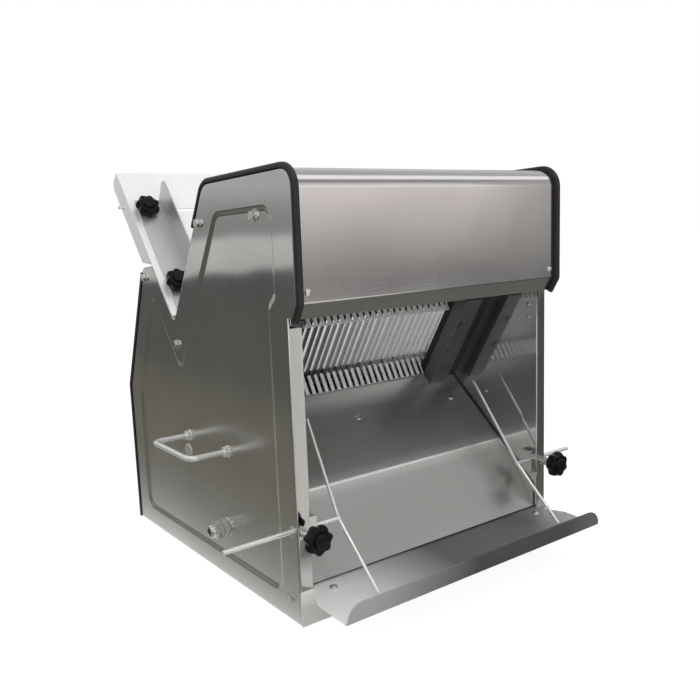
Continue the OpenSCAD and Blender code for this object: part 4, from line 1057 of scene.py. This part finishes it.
# Return lips of the front posts, folded onto the liners
postLip = {
    "deep": 0.030,
    "low": (0.053, 0.112),    # below the clamp block
    "high": {"left": (0.148, 0.393), "right": (0.148, 0.406)},
    "thick": 0.0015,
    "setBack": 0.0015,
    "softEdge": 0.0007,
    "screws": [0.382, 0.362],
    "screwY": -0.250,
    "screwScale": 0.62,
}


def makePostLips(s):
    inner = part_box("right_liner")[0].x
    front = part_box("base_frame")[0].y + s["setBack"]
    for side, word in ((-1, "left"), (1, "right")):
        bm = bmesh.new()
        for low, high in (s["low"], s["high"][word]):
            made = bmesh.ops.create_cube(bm, size=1.0)["verts"]
            bmesh.ops.scale(bm, vec=(s["thick"], s["deep"], high - low), verts=made)
            middle = (side*(inner - s["thick"]/2), front + s["deep"]/2, (high + low)/2)
            bmesh.ops.translate(bm, verts=made, vec=middle)
        addPiece(word + "_post_lip", bm, "mirror", edge=s["softEdge"])
        screws = bmesh.new()
        for z in s["screws"]:
            place = (side*(inner - s["thick"]), s["screwY"], z)
            join(screws, domeScrew(s["screwScale"]), along(place, (-side, 0, 0)))
        addPiece(word + "_lip_screws", screws, "bolt")


makePostLips(postLip)


# Studio: white floor, soft lamps and cards that the steel mirrors
studio = {
    "floorSize": 30.0,
    "floorWhite": 0.82,       # share of plain white that the eye, metal and glass see on the floor
    "floorGlow": 1.15,
    "floorColour": (0.8, 0.8, 0.79),
    "ambient": 0.5,
    "lamps": [                # place, size, watts
        ((-1.6, -1.6, 2.2), 1.4, 26),
        ((0.5, 0.2, 2.5), 2.0, 34),
        ((2.2, -0.6, 2.3), 1.2, 16),
    ],
    "aim": (0, 0, 0.25),
}


def seenDirectly(tree):
    kinds = ("Is Camera Ray", "Is Glossy Ray", "Is Transmission Ray")
    rays = [tree.add("ShaderNodeLightPath", {}, {}, kind) for kind in kinds]
    return rays[0].atLeast(rays[1]).atLeast(rays[2])


def makeFloor(s):
    bm = bmesh.new()
    bmesh.ops.create_grid(bm, x_segments=1, y_segments=1, size=s["floorSize"]/2)
    mesh = bpy.data.meshes.new("studioFloor")
    bm.to_mesh(mesh)
    bm.free()
    material = bpy.data.materials.new("floorWhite")
    tree = Tree(material)
    seen = seenDirectly(tree)
    matt = tree.add("ShaderNodeBsdfDiffuse", {}, {"Color": rgba(s["floorColour"])})
    white = tree.add("ShaderNodeEmission", {}, {"Color": (1, 1, 1, 1), "Strength": s["floorGlow"]})
    both = tree.add("ShaderNodeMixShader", {}, {0: seen*s["floorWhite"], 1: matt, 2: white})
    tree.add("ShaderNodeOutputMaterial", {}, {"Surface": both})
    mesh.materials.append(material)
    floor = bpy.data.objects.new("studioFloor", mesh)
    scene.collection.objects.link(floor)


def makeWorld(s):
    world = bpy.data.worlds.new("studioWorld")
    scene.world = world
    tree = Tree(world)
    level = seenDirectly(tree)*(1 - s["ambient"]) + s["ambient"]
    light = tree.add("ShaderNodeBackground", {}, {"Color": (1, 1, 1, 1), "Strength": level})
    tree.add("ShaderNodeOutputWorld", {}, {"Surface": light})


def makeLamps(s):
    for i, (place, size, watts) in enumerate(s["lamps"]):
        data = bpy.data.lights.new("softLamp%d" % i, "AREA")
        data.size = size
        data.energy = watts
        lamp = bpy.data.objects.new("softLamp%d" % i, data)
        ahead = Vector(s["aim"]) - Vector(place)
        lamp.matrix_world = Matrix.Translation(place) @ ahead.to_track_quat("-Z", "Y").to_matrix().to_4x4()
        lamp.visible_glossy = False
        scene.collection.objects.link(lamp)


# Cards make the room that the steel mirrors, hidden from the camera: a corner, two sides and the colours
# along one of them
cards = {
    "rearLeftWall": {
        "low": (-3.4, 2.6, 0.0), "across": (2.8, 0.0, 0.0), "up": (0.0, 0.0, 2.6), "runs": "Y",
        "stops": [(0.0, (0.13, 0.13, 0.12)), (0.104, (0.12, 0.12, 0.12)), (0.113, (0.62, 0.63, 0.61)),
                  (0.172, (0.7, 0.7, 0.69)), (0.182, (0.31, 0.31, 0.31)), (0.225, (0.36, 0.36, 0.36)),
                  (0.28, (0.56, 0.56, 0.56)), (1.0, (0.7, 0.7, 0.7))],
    },
    "rearRightWall": {
        "low": (-0.6, 2.6, 0.0), "across": (4.0, 0.0, 0.0), "up": (0.0, 0.0, 2.6), "runs": "Y",
        "stops": [(0.0, (0.2, 0.2, 0.2)), (0.2, (0.45, 0.45, 0.45)), (0.35, (0.6, 0.6, 0.6)),
                  (1.0, (0.7, 0.7, 0.7))],
    },
    "leftWall": {
        "low": (-3.4, -3.2, 0.0), "across": (0.0, 5.8, 0.0), "up": (0.0, 0.0, 2.6), "runs": "Y",
        "stops": [(0.0, (0.15, 0.15, 0.14)), (0.3, (0.4, 0.4, 0.4)), (1.0, (0.7, 0.7, 0.7))],
    },
    "frontWall": {
        "low": (-3.4, -3.2, 0.0), "across": (6.8, 0.0, 0.0), "up": (0.0, 0.0, 2.6), "runs": "Y",
        "stops": [(0.0, (0.12, 0.12, 0.12)), (0.05, (0.15, 0.15, 0.15)), (0.1, (0.3, 0.295, 0.29)),
                  (0.19, (0.62, 0.6, 0.59)), (0.27, (0.85, 0.79, 0.775)), (0.36, (1.1, 1.07, 1.05)),
                  (0.5, (1.0, 1.0, 1.0)), (1.0, (0.45, 0.45, 0.45))],
    },
    "rightWall": {
        "low": (3.4, -3.2, 0.0), "across": (0.0, 5.8, 0.0), "up": (0.0, 0.0, 2.6), "runs": "Y",
        "stops": [(0.0, (0.14, 0.14, 0.14)), (0.05, (0.22, 0.22, 0.22)), (0.16, (0.36, 0.355, 0.35)),
                  (0.3, (0.55, 0.53, 0.52)), (1.0, (0.45, 0.45, 0.45))],
    },
    "ceiling": {
        "low": (-3.4, -3.2, 2.6), "across": (6.8, 0.0, 0.0), "up": (0.0, 5.8, 0.0), "runs": "Y",
        "stops": [(0.0, (0.34, 0.34, 0.335)), (0.2, (0.34, 0.34, 0.335)), (0.25, (1.2, 1.2, 1.2)),
                  (0.4, (1.2, 1.2, 1.2)), (0.46, (0.5, 0.5, 0.5)), (1.0, (0.8, 0.8, 0.8))],
    },
    "leftFloor": {
        "low": (-0.242, -1.2, 0.003), "across": (-3.1, 0.0, 0.0), "up": (0.0, 3.8, 0.0), "runs": "X",
        "stops": [(0.0, (0.75, 0.75, 0.74)), (0.012, (0.45, 0.45, 0.44)), (0.035, (0.27, 0.27, 0.25)),
                  (0.07, (0.2, 0.19, 0.15)), (0.16, (0.2, 0.19, 0.15)), (0.24, (0.13, 0.13, 0.12)),
                  (1.0, (0.12, 0.12, 0.115))],
    },
    "frontFloor": {
        "low": (-0.6, -0.375, 0.003), "across": (3.9, 0.0, 0.0), "up": (0.0, -0.135, 0.0), "runs": "Y",
        "stops": [(0.0, (0.14, 0.155, 0.135)), (1.0, (0.14, 0.145, 0.135))],
    },
    "frontFloorBright": {
        "low": (0.238, -0.51, 0.003), "across": (-2.8, 0.0, 0.0), "up": (2.302, -2.39, 0.0), "runs": "X",
        "stops": [(0.0, (0.3, 0.29, 0.28)), (0.04, (0.74, 0.72, 0.7)), (1.0, (0.74, 0.73, 0.71))],
    },
    "frontFloorDark": {
        "low": (0.238, -0.51, 0.003), "across": (3.0, 0.0, 0.0), "up": (2.302, -2.39, 0.0), "runs": "X",
        "stops": [(0.0, (0.3, 0.29, 0.28)), (0.04, (0.1, 0.1, 0.1)), (1.0, (0.12, 0.12, 0.12))],
    },
    "trayShade": {
        "low": (-0.25, -0.268, 0.003), "across": (0.5, 0.0, 0.0), "up": (0.0, -0.105, 0.0), "runs": "Y",
        "stops": [(0.0, (0.4, 0.385, 0.36)), (1.0, (0.3, 0.29, 0.27))],
    },
    "rightFloor": {
        "low": (0.245, -0.375, 0.003), "across": (3.1, 0.0, 0.0), "up": (0.0, 3.0, 0.0), "runs": "X",
        "stops": [(0.0, (0.6, 0.6, 0.59)), (0.1, (0.25, 0.25, 0.24)), (1.0, (0.15, 0.15, 0.15))],
    },
}


def makeCard(name, s):
    low, across, up = Vector(s["low"]), Vector(s["across"]), Vector(s["up"])
    bm = bmesh.new()
    face = bm.faces.new([bm.verts.new(p) for p in (low, low + across, low + across + up, low + up)])
    layer = bm.loops.layers.uv.new("card")
    for loop, place in zip(face.loops, ((0, 0), (1, 0), (1, 1), (0, 1))):
        loop[layer].uv = place
    mesh = bpy.data.meshes.new(name)
    bm.to_mesh(mesh)
    bm.free()
    material = bpy.data.materials.new(name)
    tree = Tree(material)
    place = tree.add("ShaderNodeTexCoord", {}, {}, "UV")
    share = tree.add("ShaderNodeSeparateXYZ", {}, {"Vector": place}, s["runs"])
    colour = tree.add("ShaderNodeValToRGB", {"stops": s["stops"]}, {"Fac": share})
    glow = tree.add("ShaderNodeEmission", {}, {"Color": colour, "Strength": 1.0})
    tree.add("ShaderNodeOutputMaterial", {}, {"Surface": glow})
    mesh.materials.append(material)
    card = bpy.data.objects.new(name, mesh)
    scene.collection.objects.link(card)
    card.visible_camera = False
    card.visible_diffuse = False
    card.visible_shadow = False


makeFloor(studio)
makeWorld(studio)
makeLamps(studio)
for name, settings in cards.items():
    makeCard(name, settings)
print("studio made")
